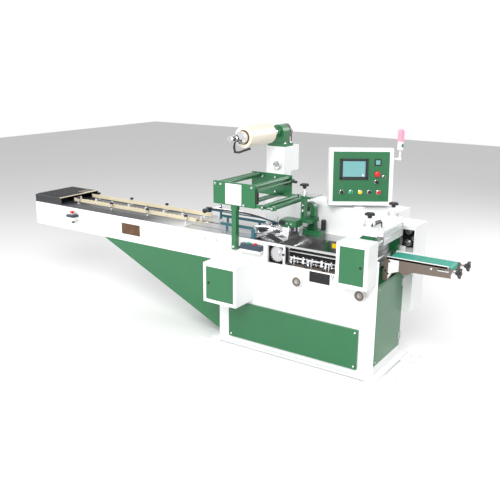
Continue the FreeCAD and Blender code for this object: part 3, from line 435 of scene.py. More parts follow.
def makeBodyTrim(t):
    screws = bmesh.new()
    coverLow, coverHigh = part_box("front_cover_panel")
    inset = t["coverInset"]
    for x in (coverLow.x + inset, coverHigh.x - inset):
        for z in (coverLow.z + inset, coverHigh.z - inset):
            addBolt(screws, (x, coverLow.y, z), toFront, *t["coverScrew"])
    endLow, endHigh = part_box("right_end_panel")
    for y in (endLow.y + inset, endHigh.y - inset):
        for z in (endLow.z + inset, endHigh.z - inset):
            addBolt(screws, (endHigh.x, y, z), toRight, *t["endScrew"])
    for x in t["boltColumns"]:
        for z in t["boltRows"]:
            addBolt(screws, (rightX + x, frontY, z), toFront, *t["boltSize"])
    addPiece("coverScrews", screws, "chrome", smooth=True)
    plate = bmesh.new()
    left, z0, right, z1 = t["plate"]
    x0, x1 = rightX + left, rightX + right
    addBlock(plate, (x0, frontY - 0.002, z0), (x1, frontY + 0.001, z1))
    rim = t["plateRim"]
    for low, high in rimStrips(x0, z0, x1, z1, rim, rim, rim):
        addBlock(plate, (low[0], frontY - 0.0035, low[1]), (high[0], frontY - 0.001, high[1]))
    addPiece("barePlate", plate, "plate", "taupe_paint", bevel=0.0008)
    # painted shade: near-black sheets behind the bay, the hatch and the gear window, and black discs for the
    # hatch holes, stand for the shade inside them
    shadeSheets = bmesh.new()
    depth, thick = t["bayDepth"], t["backThick"]
    addBlock(shadeSheets, (rightX + t["bayLeft"], frontY + depth, t["bayBottom"]),
             (rightX + t["bayRight"], frontY + depth + thick, bedZ - 0.03))
    left, bottom, right, top = t["hatch"]
    addBlock(shadeSheets, (rightX + left, frontY + 0.001, bottom), (rightX + right, frontY + 0.001 + thick, top))
    windowLow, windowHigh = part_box("gear_wheel")
    margin, depth = t["gearMargin"], t["gearDepth"]
    addBlock(shadeSheets, (windowLow.x - margin, frontY + depth, windowLow.z - margin),
             (windowHigh.x + margin, frontY + depth + thick, windowHigh.z + margin))
    for dx, dz in t["hatchHoles"]:
        addTurned(shadeSheets, t["hatchHole"], (rightX + right + dx, frontY, top + dz), toFront, 14)
    addPiece("paintedShadeOpenings", shadeSheets, "blackGap", "black_paint")
    hinges = bmesh.new()
    for z in (endLow.z + t["hingeInset"], endHigh.z - t["hingeInset"]):
        addTurned(hinges, t["hingePin"], (endHigh.x + 0.004, endHigh.y + 0.003, z - 0.03), up, 16)
        addBlock(hinges, (endHigh.x - 0.002, endHigh.y - 0.03, z - 0.028),
                 (endHigh.x + 0.002, endHigh.y + 0.003, z + 0.028))
    addPiece("endPanelHinges", hinges, "steel", smooth=True)


makeBodyTrim(bodyTrim)

bay = {
    "rodDepth": 0.052,
    "rodHeights": (0.745, 0.772, 0.815),
    "rodRadius": 0.005,
    "rodInset": 0.01,
    "linkCount": 5,
    "linkFirst": 0.045,
    "linkPitch": 0.075,
    "linkWidth": 0.018,
    "linkHeights": (0.738, 0.79),
    "linkBolt": (0.007, 0.006),
    "coilAt": (0.045, -0.02, 0.74),
    "coilRadius": 0.006,
    "coilRise": 0.0011,
    "coilStep": 0.9,
    "coilPoints": 48,
    "coilWire": 0.0013,
    "knobFirst": 0.033,
    "knobPitch": 0.14,
    "knob": ((0, 0), (0.0135, 0), (0.0145, 0.004), (0.0145, 0.012), (0.011, 0.015), (0, 0.015)),
    "ledge": (0.7225, 0.7245),
    "slotDepth": 0.3,
    "strip": (-0.50, 0.815, -0.25, 0.85),
    "slider": (-0.545, 0.77, -0.53, 0.862),
    "clipAt": (-0.727, -0.015, 0.80),
    "clip": ((0, 0), (0.008, 0), (0.009, 0.01), (0.006, 0.014), (0, 0.014)),
}


def makeBay(b):
    x0, x1 = rightX + bodyTrim["bayLeft"], rightX + bodyTrim["bayRight"]
    y = frontY + b["rodDepth"]
    rods = bmesh.new()
    for z in b["rodHeights"]:
        addTube(rods, [(x0 + b["rodInset"], y, z), (x1 - b["rodInset"], y, z)], b["rodRadius"], 12)
    linkLow, linkHigh = b["linkHeights"]
    coilX, coilY, coilZ = b["coilAt"]
    reach = b["coilRadius"]
    for i in range(b["linkCount"]):
        x = x0 + b["linkFirst"] + i * b["linkPitch"]
        addBlock(rods, (x, y - 0.010, linkLow), (x + b["linkWidth"], y + 0.010, linkHigh))
        addBolt(rods, (x + b["linkWidth"] / 2, y - 0.010, linkHigh - 0.01), toFront, *b["linkBolt"])
        coil = []
        for step in range(b["coilPoints"]):
            a = step * b["coilStep"]
            coil.append((x + coilX + reach * math.cos(a), y + coilY + reach * math.sin(a),
                         coilZ + step * b["coilRise"]))
        addTube(rods, coil, b["coilWire"], 5)
    addPiece("bayRods", rods, "chrome", smooth=True)
    knobs = bmesh.new()
    for i in range(3):
        x = x0 + b["knobFirst"] + i * b["knobPitch"]
        addTurned(knobs, b["knob"], (x, frontY + 0.012, bodyTrim["bayBottom"] + 0.014), toFront, 24)
    addPiece("bayKnobs", knobs, "black_plastic", smooth=True)
    ledge = bmesh.new()
    addBlock(ledge, (x0, frontY + 0.0045, b["ledge"][0]), (x1, frontY + 0.07, b["ledge"][1]))
    addPiece("bayLedge", ledge, "taupe_paint", bevel=0.0006)
    rail = bmesh.new()
    addBlock(rail, (x0, frontY + 0.003, bedZ - 0.014),
             (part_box("drive_box")[0].x, frontY + 0.018, bedZ + 0.001))
    addPiece("frontRail", rail, "steel", bevel=0.001)
    slotBack = frontY + b["slotDepth"]
    strip = bmesh.new()
    left, bottom, right, top = b["strip"]
    addBlock(strip, (rightX + left, slotBack - 0.0015, bottom), (rightX + right, slotBack, top))
    addPiece("bareYellowStrip", strip, "yellow", "cream_plastic")
    slider = bmesh.new()
    left, bottom, right, top = b["slider"]
    addBlock(slider, (rightX + left, slotBack - 0.02, bottom), (rightX + right, slotBack, top))
    addPiece("greenSlider", slider, "green_paint", bevel=0.001)
    clip = bmesh.new()
    clipX, clipY, clipZ = b["clipAt"]
    addTurned(clip, b["clip"], (rightX + clipX, frontY + clipY, clipZ), toFront, 18)
    addPiece("windowClip", clip, "black_plastic", smooth=True)


makeBay(bay)
print("body trim and bay are done")


# infeed
infeed = {
    "ridgeCount": 6,
    "ridgeFirst": 0.148,
    "ridgePitch": 0.017,
    "ridgeWidth": 0.009,
    "linkPitch": 0.0254,
    "linkLength": 0.0235,
    "linkPin": ((0, 0), (0.003, 0), (0.003, 0.018), (0, 0.018)),
    "stripOffset": 0.036,
    "dashCount": 44,
    "dashPitch": 0.048,
    "dashLength": 0.022,
    "holeCount": 34,
    "holePitch": 0.024,
    "railOffset": 0.111,
    "clampPitch": 0.420,
    "clampFirst": 0.095,
    "clampRise": 0.0515,
    "clampCap": ((0, 0), (0.0138, 0), (0.0155, 0.004), (0.0155, 0.011), (0.010, 0.016), (0, 0.0165)),
    "clampPost": ((0.0155, 0), (0.0155, 0.009), (0.0078, 0.011), (0.0078, 0.0515)),
    "railBolt": (0.006, 0.004),
    "ribCount": 9,
    "ribPitch": 0.036,
    "ribRadius": 0.006,
}


def makeInfeed(s):
    bedLow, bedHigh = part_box("infeed_bed")
    coverLow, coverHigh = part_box("infeed_end_cover")
    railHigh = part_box("guide_rails")[1]
    ridges = bmesh.new()
    half = s["ridgeWidth"] / 2
    for side in (-1, 1):
        for i in range(s["ridgeCount"]):
            y = laneY + side * (s["ridgeFirst"] + i * s["ridgePitch"])
            if bedLow.y + 0.004 < y < bedHigh.y - 0.004:
                addBlock(ridges, (coverHigh.x, y - half, bedZ), (bodyLow.x - 0.35, y + half, bedZ + 0.0035))
    addPiece("bedRidges", ridges, "dark_bed", bevel=0.001)
    links = bmesh.new()
    count = int((railHigh.x + 0.2 - coverHigh.x) / s["linkPitch"])
    for i in range(count):
        x = coverHigh.x + i * s["linkPitch"]
        gap = 0.0035 if i % 2 else 0.0065  # inner and outer plates take turns
        for side in (-1, 1):
            y = laneY + side * gap
            addBlock(links, (x, y - 0.001, bedZ - 0.014), (x + s["linkLength"], y + 0.001, bedZ - 0.003))
        addTurned(links, s["linkPin"], (x, laneY - 0.009, bedZ - 0.0085), (0, 1, 0), 10)
    addPiece("chainLinks", links, "steel")
    strips = bmesh.new()
    stripEnd = railHigh.x + 0.05
    for side in (-1, 1):
        y = laneY + side * s["stripOffset"]
        addBlock(strips, (coverHigh.x, y - 0.014, bedZ), (stripEnd, y + 0.014, bedZ + 0.005))
    addPiece("wearStrips", strips, "cream_plastic", bevel=0.0012)
    # painted shade: black blocks along the wear strips and across the bed stand for the dark inside of slots
    # and holes
    slotShades = bmesh.new()
    for side in (-1, 1):
        for i in range(s["dashCount"]):
            x = coverHigh.x + 0.05 + i * s["dashPitch"]
            y = laneY + side * s["stripOffset"]
            if x + s["dashLength"] < stripEnd:
                addBlock(slotShades, (x, y - 0.006, bedZ + 0.004), (x + s["dashLength"], y + 0.006, bedZ + 0.0056))
    for i in range(s["holeCount"]):
        x = bodyLow.x - 0.42 + i * s["holePitch"]
        addBlock(slotShades, (x, laneY - 0.15, bedZ - 0.001), (x + 0.013, laneY - 0.144, bedZ + 0.0012))
    addPiece("slotRowShade", slotShades, "blackGap", "black_paint")
    caps = bmesh.new()
    posts = bmesh.new()
    for side in (-1, 1):
        y = laneY + side * (s["railOffset"] + 0.017)
        for i in range(4):
            x = coverHigh.x + s["clampFirst"] + i * s["clampPitch"]
            addTurned(caps, s["clampCap"], (x, y, bedZ + s["clampRise"]), up, 24)
            addTurned(posts, s["clampPost"], (x, y, bedZ), up, 20)
            addBolt(posts, (x + s["clampPitch"] / 2, laneY + side * s["railOffset"] - 0.004, bedZ + 0.03),
                    toFront, *s["railBolt"])
    addPiece("clampCaps", caps, "black_plastic", smooth=True)
    addPiece("clampPosts", posts, "chrome", smooth=True)
    edge = bmesh.new()
    top = coverHigh.z
    addBlock(edge, (coverHigh.x - 0.022, coverLow.y, top), (coverHigh.x + 0.001, coverHigh.y, top + 0.003))
    addBlock(edge, (coverHigh.x - 0.12, coverHigh.y - 0.15, top),
             (coverHigh.x - 0.02, coverHigh.y - 0.03, top + 0.002))
    addPiece("coverEdgeStrip", edge, "cream_plastic", bevel=0.0008)
    ribs = bmesh.new()
    for i in range(s["ribCount"]):
        x = coverLow.x + 0.02 + i * s["ribPitch"]
        addTube(ribs, [(x, coverLow.y + 0.02, top + 0.001), (x, coverHigh.y - 0.02, top + 0.001)],
                s["ribRadius"], 10)
    addPiece("coverRibs", ribs, "black_paint", smooth=True)


makeInfeed(infeed)

entry = {
    "pivotX": -0.9435,
    "pivotRise": 0.105,
    "armRise": 0.112,
    "armPitch": 0.069,
    "armPoints": 11,
    "armRadius": 0.0065,
    "knob": ((0, 0), (0.017, 0), (0.019, 0.006), (0.019, 0.02), (0.012, 0.028), (0, 0.028)),
    "pivotRadius": 0.0078,
    "wireRadius": 0.004,
    "post": (-1.035, -1.005),
    "foot": (-1.04, -1.0),
}


def makeEntry(e):
    # hold-down arm in one bend, its knob, and the bars' fixings
    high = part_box("entry_guides")[1]
    pivotX, pivotZ = e["pivotX"], bedZ + e["pivotRise"]
    arm = bmesh.new()
    points = []
    for i in range(e["armPoints"]):
        rise = 0.010 * math.sin(i * 0.34) - 0.0006 * max(i - 4, 0) ** 2.4
        points.append((pivotX + e["armPitch"] * i, laneY, bedZ + e["armRise"] + rise))
    addTube(arm, points, e["armRadius"], 10)
    addTurned(arm, e["knob"], (pivotX, laneY - 0.045, pivotZ), toFront, 24)
    addBlock(arm, (-0.962, laneY - 0.016, bedZ + 0.086), (-0.925, laneY + 0.016, bedZ + 0.124))
    addPiece("holdDownArm", arm, "black_plastic", smooth=True)
    rods = bmesh.new()
    addTube(rods, [(pivotX, laneY - 0.02, pivotZ), (pivotX, high.y, pivotZ)], e["pivotRadius"], 14)
    addTube(rods, [(-0.925, laneY + 0.02, bedZ + 0.118), (-0.62, laneY + 0.02, bedZ + 0.125)],
            e["wireRadius"], 10)
    addPiece("holdDownRods", rods, "chrome", smooth=True)
    post = bmesh.new()
    addBlock(post, (rightX + e["post"][0], frontY + 0.022, bedZ),
             (rightX + e["post"][1], frontY + 0.034, bedZ + 0.067))
    addBlock(post, (rightX + e["foot"][0], frontY + 0.018, bedZ),
             (rightX + e["foot"][1], frontY + 0.06, bedZ + 0.005))
    addPiece("tealPost", post, "teal_plastic", bevel=0.0015)


makeEntry(entry)
print("infeed is done")


# folding box and seam castings
former = {
    "ploughRows": 9,
    "ploughColumns": 6,
    "ploughThick": 0.002,
    "boltSize": (0.006, 0.005),
    "barRadius": 0.006,
}


def makeFormer(f):
    low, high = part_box("film_former")
    plates = bmesh.new()
    for side in (-1, 1):
        # a flared plough each side, lofted from the box's mouth down to the slot
        rows = []
        for i in range(f["ploughRows"]):
            t = i / (f["ploughRows"] - 1)
            row = []
            for k in range(f["ploughColumns"]):
                u = k / (f["ploughColumns"] - 1)
                x = low.x - 0.05 + 0.20 * t
                y = laneY + side * (0.150 - 0.085 * t + 0.03 * u * (1 - t))
                z = bedZ + 0.012 + 0.075 * u * (1 - 0.45 * t) + 0.012 * math.sin(math.pi * t)
                row.append(plates.verts.new((x, y, z)))
            rows.append(row)
        for a, b in zip(rows, rows[1:]):
            for k in range(f["ploughColumns"] - 1):
                plates.faces.new((a[k], a[k + 1], b[k + 1], b[k]))
    piece = addPiece("formerPloughs", plates, "chrome", smooth=True)
    piece.modifiers.new("sheet", "SOLIDIFY").thickness = f["ploughThick"]
    fixings = bmesh.new()
    for x in (low.x + 0.03, low.x + 0.1, high.x - 0.02):
        for side in (-1, 1):
            addBolt(fixings, (x, laneY + side * 0.04, high.z), up, *f["boltSize"])
    barX, barZ = low.x - 0.01, high.z + 0.01
    addTube(fixings, [(barX, laneY - 0.075, barZ), (barX, laneY + 0.075, barZ)], f["barRadius"], 14)
    addPiece("formerFixings", fixings, "chrome", smooth=True)


seam = {
    "motor": ((0, 0), (0.017, 0), (0.019, 0.004), (0.019, 0.075), (0.015, 0.082), (0, 0.082)),
    "headLeft": -0.898,
    "uprightLeft": -0.748,
    "smallBolt": (0.006, 0.005),
    "uprightBolts": ((0.2, 0.009, 0.008), (0.24, 0.007, 0.006)),  # rise, radius, height
    "pinRadius": 0.007,
    "leafCount": 3,
    "leafPitch": 0.04,
    "threadTurns": 36,
    "boss": ((0, 0), (0.026, 0), (0.03, 0.006), (0.03, 0.022), (0.02, 0.03), (0, 0.03)),
}


def makeSeamTrim(s):
    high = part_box("seam_head")[1]
    headX, uprightX = rightX + s["headLeft"], rightX + s["uprightLeft"]
    dark = bmesh.new()
    addTurned(dark, s["motor"], (high.x, high.y - 0.035, bedZ + 0.036), up, 28)
    addBlock(dark, (headX - 0.004, frontY + 0.199, bedZ + 0.09), (headX + 0.045, frontY + 0.205, bedZ + 0.122))
    addPiece("seamMotor", dark, "black_plastic", bevel=0.002)
    bright = bmesh.new()
    for dx in (0.065, 0.1):
        addBolt(bright, (headX + dx, frontY + 0.205, bedZ + 0.105), toFront, *s["smallBolt"])
    for rise, radius, height in s["uprightBolts"]:
        addBolt(bright, (uprightX, frontY + 0.292, bedZ + rise), toFront, radius, height)
    for dx in (0.06, 0.12, 0.15):
        x, y = headX + dx, frontY + 0.23
        addTube(bright, [(x, y, bedZ + 0.05), (x, y, bedZ + 0.085)], s["pinRadius"], 14)
    addBlock(bright, (uprightX - 0.03, frontY + 0.286, bedZ + 0.309),
             (uprightX + 0.085, frontY + 0.43, bedZ + 0.313))
    for i in range(s["leafCount"]):
        y = frontY + 0.30 + i * s["leafPitch"]
        addBlock(bright, (uprightX - 0.06, y, bedZ + 0.316), (uprightX + 0.11, y + 0.012, bedZ + 0.320))
    thread = [(0.0068 + 0.0008 * (i % 2), 0.0015 * i) for i in range(s["threadTurns"])]
    addTurned(bright, thread, (uprightX, frontY + 0.305, bedZ + 0.309), up, 20)
    addPiece("seamBrightParts", bright, "chrome", smooth=True)
    ribs = bmesh.new()
    for i in range(3):
        y, z = frontY + 0.378, bedZ + 0.05 + i * 0.05
        addTube(ribs, [(rightX - 0.79 + i * 0.006, y, z), (rightX - 0.70, y, z)], 0.004, 8)
    addTurned(ribs, s["boss"], (rightX - 0.735, frontY + 0.44, bedZ + 0.034), up, 28)
    addPiece("seamBosses", ribs, "green_paint", smooth=True)


makeFormer(former)
makeSeamTrim(seam)
print("former and seam castings are done")


# film frame, column and reel
filmFrame = {
    "bolts": ((-0.6545, 1.266), (-0.6025, 1.266), (-0.3285, 1.266), (-0.3985, 1.127), (-0.4935, 0.800)),
    "boltSize": (0.0105, 0.008),
    "rearBolts": ((-0.5635, 1.258), (-0.4455, 1.260), (-0.5625, 1.152), (-0.4425, 1.147)),
    "rearBoltSize": (0.010, 0.008),
    "paper": ((-0.563, 1.122), (-0.420, 1.276)),
    "rod": (-0.2855, 1.248),
    "rodRadius": 0.0075,
    "rollers": (-0.2415, -0.1595),
    "rollerHeight": 1.131,
    "rollerEnd": ((0.0185, 0), (0.0185, 0.012)),
    "rollerBolt": (0.009, 0.008),
    "edgeBracket": (0.175, 0.014, 1.147, 1.258),
}


def makeFilmFrameTrim(s):
    low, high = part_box("film_frame_front")
    rearLow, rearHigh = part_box("film_frame_rear")
    armLow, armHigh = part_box("film_rollers")
    bolts = bmesh.new()
    for x, z in s["bolts"]:
        y = low.y if z > 1.0 else frontY - 0.040  # the lowest one is on the post
        addBolt(bolts, (x, y, z), toFront, *s["boltSize"])
    for x, z in s["rearBolts"]:
        addBolt(bolts, (x, rearLow.y, z), toFront, *s["rearBoltSize"])
    rodX, rodZ = s["rod"]
    addTube(bolts, [(rodX, low.y + 0.012, rodZ), (rodX - 0.06, rearHigh.y - 0.012, rodZ - 0.02)],
            s["rodRadius"], 14)
    for x in s["rollers"]:
        for y in (armLow.y + 0.001, armHigh.y - 0.013):
            addTurned(bolts, s["rollerEnd"], (x, y, s["rollerHeight"]), (0, 1, 0), 24)
        addBolt(bolts, (x, low.y + 0.008, s["rollerHeight"]), toFront, *s["rollerBolt"])
    addPiece("frameBolts", bolts, "chrome", smooth=True)
    paper = bmesh.new()
    (x0, z0), (x1, z1) = s["paper"]
    addBlock(paper, (x0, low.y - 0.001, z0), (x1, low.y + 0.0005, z1))
    addPiece("bareSheet", paper, "paper", "white_plastic")
    blocks = bmesh.new()
    inset, width, bottom, top = s["edgeBracket"]
    edgeX = high.x - inset
    addBlock(blocks, (edgeX, low.y + 0.004, bottom), (edgeX + width, low.y + 0.030, top))
    addBlock(blocks, (rodX - 0.075, rearLow.y - 0.03, rodZ - 0.035), (rodX - 0.045, rearLow.y, rodZ + 0.01))
    addTube(blocks, [(-0.40, rearLow.y - 0.012, 1.25), (-0.24, rearLow.y - 0.016, 1.244)], 0.011, 12)
    for y in (low.y + 0.009, rearLow.y - 0.012):
        addBlock(blocks, (-0.262, y, 1.12), (-0.222, y + 0.012, 1.146))
    addPiece("frameClamps", blocks, "black_plastic", bevel=0.0015)


reelTrim = {
    "coreFront": ((0.0385, -0.004), (0.052, -0.004), (0.053, 0.001)),
    "coreRear": ((0.053, 0), (0.053, 0.003), (0.03, 0.003)),
    "layerCount": 12,
    "layerFirst": 0.0535,
    "layerPitch": 0.0019,
    "layerWidth": 0.0012,
    "collar": ((0.0165, 0.028), (0.0165, 0.058)),
    "chuckRing": ((0.0245, 0.074), (0.0255, 0.078), (0.0255, 0.090), (0.0245, 0.094)),
    "lever": ((0, 0.075, -0.02), (-0.004, 0.07, -0.06), (-0.006, 0.085, -0.098),
              (-0.002, 0.13, -0.104), (0.010, 0.19, -0.094), (0.020, 0.24, -0.087)),
    "leverRadius": 0.0085,
    "beltRadius": 0.0535,
    "beltWidth": 0.010,
    "beltThick": 0.003,
    "beltArc": (-20, 220),  # start and sweep, degrees
    "beltSteps": 24,
    "footBolt": (0.009, 0.008),
    "bearingRing": ((0.0165, -0.006), (0.024, -0.006), (0.024, 0.001)),
}


def makeReelTrim(r):
    rollLow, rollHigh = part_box("film_roll")
    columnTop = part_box("reel_column")[1].z
    x, z = (rollLow.x + rollHigh.x) / 2, (rollLow.z + rollHigh.z) / 2
    across = (0, 1, 0)
    core = bmesh.new()
    addTurned(core, r["coreFront"], (x, rollLow.y, z), across, 48)
    addTurned(core, r["coreRear"], (x, rollHigh.y, z), across, 48)
    addPiece("rollCore", core, "core", "taupe_paint", body="reel", smooth=True)
    layers = bmesh.new()
    profile = []
    for i in range(r["layerCount"]):
        radius = r["layerFirst"] + i * r["layerPitch"]
        step = -0.0006 - 0.0005 * (i % 2)
        profile += [(radius, step), (radius + r["layerWidth"], step)]
    addTurned(layers, profile + [(0.0762, 0.001)], (x, rollLow.y, z), across, 48)
    addPiece("rollLayers", layers, "film", body="reel", smooth=True)
    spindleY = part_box("spindle")[0].y
    dark = bmesh.new()
    addTurned(dark, r["collar"], (x, spindleY, z), across, 32)
    addTurned(dark, r["chuckRing"], (x, spindleY, z), across, 32)
    lever = [(x + dx, spindleY + dy, z + dz) for dx, dy, dz in r["lever"]]
    addTube(dark, lever, r["leverRadius"], 14)
    addPiece("chuckLever", dark, "black_plastic", body="reel", smooth=True)
    band = bmesh.new()
    y0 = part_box("brake_pulley")[0].y + 0.010
    y1 = y0 + r["beltWidth"]
    start, sweep = r["beltArc"]
    outline = [(x + 0.052, columnTop)]
    for i in range(r["beltSteps"] + 1):
        a = math.radians(start + sweep * i / r["beltSteps"])
        outline.append((x + r["beltRadius"] * math.cos(a), z + r["beltRadius"] * math.sin(a)))
    outline.append((x - 0.052, columnTop))
    rows = [[band.verts.new((px, y, pz)) for px, pz in outline] for y in (y0, y1)]
    for i in range(len(outline) - 1):
        band.faces.new((rows[0][i], rows[0][i + 1], rows[1][i + 1], rows[1][i]))
    belt = addPiece("brakeBelt", band, "redBelt", "red_plastic", smooth=True)
    belt.modifiers.new("thickness", "SOLIDIFY").thickness = r["beltThick"]
    bolts = bmesh.new()
    blockLow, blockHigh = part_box("bearing_block")
    for bx in (blockLow.x + 0.013, blockHigh.x - 0.013):
        for by in (blockLow.y + 0.03, blockHigh.y - 0.02):
            addBolt(bolts, (bx, by, columnTop + 0.022), up, *r["footBolt"])
    addTurned(bolts, r["bearingRing"], (x, blockLow.y, z), across, 32)
    addPiece("bearingBolts", bolts, "chrome", smooth=True)


makeFilmFrameTrim(filmFrame)
makeReelTrim(reelTrim)
print("film frame and reel are done")


# control panel: x and z across the face, -y out of it
panel = {
    "yaw": 33.5,
    "tilt": -6.0,
    "fromRight": -0.391,
    "fromFront": 0.520,
    "bottom": 1.112,
    "face": 0.001,
    "rim": 0.010,
    "bezel": ((-0.1595, 0.1895), (0.0515, 0.3445)),
    "screen": ((-0.137, 0.212), (0.029, 0.326)),
    "screenKey": ((0.0075, -0.001), (0.0075, 0.001), (0.0055, 0.002), (0, 0.002)),
    "meter": ((0.0965, 0.2935), (0.1455, 0.3425)),
    "meterGlass": ((0.105, 0.302), (0.137, 0.334)),
    "row": ("black_plastic", "green_plastic", "yellow", "black_plastic", "red_plastic"),
    "rowStart": -0.141,
    "rowPitch": 0.0685,
    "rowHeight": 0.098,
    "rowCollar": ((0.0145, 0), (0.0165, 0.001), (0.0165, 0.004), (0.0146, 0.005), (0.0146, 0.0102)),
    "rowDome": ((0.0143, 0.0095), (0.0143, 0.0125), (0.0120, 0.0145), (0.006, 0.0152), (0, 0.0154)),
    "stop": (0.118, 0.232, 0.0142),
    "stopHead": ((0.0215, 0.0115), (0.0225, 0.014), (0.0225, 0.018), (0.019, 0.0225), (0.010, 0.025),
                 (0, 0.0255)),
    "selector": (0.116, 0.174, 0.0142),
    "selectorHub": ((0.0145, 0.004), (0.0145, 0.0155), (0.012, 0.0175), (0, 0.0175)),
    "lock": (0.168, 0.212, 0.0096),
    "lockFace": ((0.0095, 0.004), (0.0095, 0.0075), (0.004, 0.0075), (0.004, 0.006), (0, 0.006)),
    "lampBase": (0.284, 0.060),
    "lampRing": ((0.0225, 0), (0.0238, 0.002), (0.0238, 0.006), (0.0225, 0.008)),
    "lampFlare": ((0.0075, 0), (0.0150, 0.006), (0.0225, 0.012)),
    "lampElbow": ((0.006, 0), (0.006, 0.0165), (0, 0.0165)),
    "patchTurns": (-68, -22),
    "lensRadius": 0.0232,
    "lensRibs": 17,
    "lensBottom": 0.468,
    "lensPitch": 0.0048,
    "lensTop": ((0.0232, 0.5460), (0.019, 0.5565), (0.006, 0.5605), (0, 0.5606)),
}


def panelPlace(p, tilted=True):
    origin = Vector((rightX + p["fromRight"], frontY + p["fromFront"], p["bottom"]))
    place = Matrix.Translation(origin) @ Matrix.Rotation(math.radians(p["yaw"]), 4, "Z")
    if tilted:
        place = place @ Matrix.Rotation(math.radians(p["tilt"]), 4, "X")
    return place


def makeScreen(p, place):
    (x0, z0), (x1, z1) = p["bezel"]
    bezel = bmesh.new()
    rim = p["rim"]
    for low, high in rimStrips(x0, z0, x1, z1, 2 * rim, 1.6 * rim, 1.6 * rim):
        addBlock(bezel, (low[0], -0.0075, low[1]), (high[0], -0.003, high[1]), place)
    addBlock(bezel, (x0, -0.0045, z0), (x1, p["face"], z1), place)
    (x0, z0), (x1, z1) = p["meter"]
    addBlock(bezel, (x0, -0.0062, z0), (x1, p["face"], z1), place)
    addPiece("screenBezel", bezel, "bezel", "black_plastic", body="control_panel", bevel=0.0012)
    glass = bmesh.new()
    (x0, z0), (x1, z1) = p["screen"]
    addBlock(glass, (x0, -0.0056, z0), (x1, -0.004, z1), place)
    (x0, z0), (x1, z1) = p["meterGlass"]
    addBlock(glass, (x0, -0.0072, z0), (x1, -0.006, z1), place)
    addPiece("screenGlass", glass, "screen", "black_plastic", body="control_panel", bevel=0.0006)


def makeButtons(p, place):
    keyX, keyZ = p["screen"][1][0] - 0.016, p["screen"][0][1] + 0.008
    face, rowZ = p["face"], p["rowHeight"]
    rowX = [p["rowStart"] + i * p["rowPitch"] for i in range(len(p["row"]))]
    marks = bmesh.new()
    addTurned(marks, p["screenKey"], (keyX, -0.0056, keyZ), toFront, 20, place)
    for x in rowX:
        addTurned(marks, p["rowCollar"], (x, face, rowZ), toFront, 32, place)
    for x, z, r in (p["stop"], p["selector"], p["lock"]):
        ring = ((r, 0), (r + 0.002, 0.001), (r + 0.002, 0.004), (r, 0.005))
        addTurned(marks, ring, (x, face, z), toFront, 32, place)
    addPiece("buttonCollars", marks, "chrome", body="control_panel", smooth=True)
    for i, (x, finish) in enumerate(zip(rowX, p["row"])):
        cap = bmesh.new()
        addTurned(cap, p["rowDome"], (x, face, rowZ), toFront, 32, place)
        if i == 0:  # the first one is a selector
            addBlock(cap, (x - 0.0035, -0.024, rowZ - 0.013), (x + 0.0035, -0.010, rowZ + 0.013), place)
        slotName = "green_plastic" if finish == "yellow" else None
        addPiece("rowButton" + str(i + 1), cap, finish, slotName, body="control_panel", smooth=i > 0)
    mushroom = bmesh.new()
    x, z = p["stop"][:2]
    addTurned(mushroom, p["stopHead"], (x, face, z), toFront, 36, place)
    addPiece("panelStop", mushroom, "red_plastic", body="control_panel", smooth=True)
    selector = bmesh.new()
    x, z = p["selector"][:2]
    addTurned(selector, p["selectorHub"], (x, face, z), toFront, 30, place)
    addBlock(selector, (x - 0.0025, -0.026, z - 0.013), (x + 0.0025, -0.014, z + 0.013), place)
    x, z = p["lock"][:2]
    addTurned(selector, p["lockFace"], (x, face, z), toFront, 24, place)
    addPiece("panelSelector", selector, "black_plastic", body="control_panel", bevel=0.0006)


def makeSignalLamp(p):
    upright = panelPlace(p, False)
    lampX, lampY = p["lampBase"]
    rings = bmesh.new()
    addTurned(rings, p["lampRing"], (lampX, lampY, 0.460), up, 36, upright)
    addTurned(rings, p["lampFlare"], (lampX, lampY, 0.396), up, 32, upright)
    addTurned(rings, p["lampElbow"], (lampX, lampY, 0.341), toFront, 20, upright)
    addPiece("lampRings", rings, "white_plastic", body="control_panel", smooth=True)
    patches = bmesh.new()
    centre = upright @ Matrix.Translation((lampX, lampY, 0))
    for angle in p["patchTurns"]:
        turn = centre @ Matrix.Rotation(math.radians(angle), 4, "Z")
        addBlock(patches, (0.0205, -0.006, 0.428), (0.0228, 0.006, 0.452), turn)
    addPiece("lampPatches", patches, "teal_plastic", body="control_panel", bevel=0.0004)
    ribs = bmesh.new()
    profile = []
    for i in range(p["lensRibs"]):
        radius = p["lensRadius"] + (0.0009 if i % 2 else 0)
        profile.append((radius, p["lensBottom"] + i * p["lensPitch"]))
    addTurned(ribs, profile + list(p["lensTop"]), (lampX, lampY, 0), up, 36, upright)
    addPiece("lampLens", ribs, "red_lamp", body="control_panel", smooth=True)


makeScreen(panel, panelPlace(panel))
makeButtons(panel, panelPlace(panel))
makeSignalLamp(panel)
print("control panel is done")


# stations, handwheels and locks
station = {
    "runGland": ((0, 0), (0.0115, 0), (0.0125, 0.004), (0.0125, 0.014), (0.0105, 0.018), (0, 0.018)),
    "stopGland": ((0, 0), (0.0115, 0), (0.0125, 0.004), (0.0125, 0.016), (0.0105, 0.021), (0, 0.021)),
    "baseHeight": 0.026,
    "coverBottom": 0.786,
    "coverTop": 0.8095,
    "overhang": 0.0015,
}
handwheel = {
    "plate": ((0.0146, 0.0002), (0.046, 0.0002), (0.047, 0.002), (0.045, 0.0055), (0.0146, 0.0055)),
    "rim": ((0.0352, 0.009), (0.0385, 0.009), (0.0395, 0.012), (0.0395, 0.027), (0.037, 0.031),
            (0.0345, 0.0312)),
    "ring": ((0.012, 0.0285), (0.0125, 0.0305), (0.0165, 0.0305), (0.017, 0.0285)),
    "boltDepth": 0.0322,
    "bolt": (0.0075, 0.004),
}
doorLock = {
    "inset": 0.022,
    "shape": ((0, 0), (0.009, 0), (0.009, 0.003), (0.004, 0.003), (0.004, 0.001), (0, 0.001)),
}


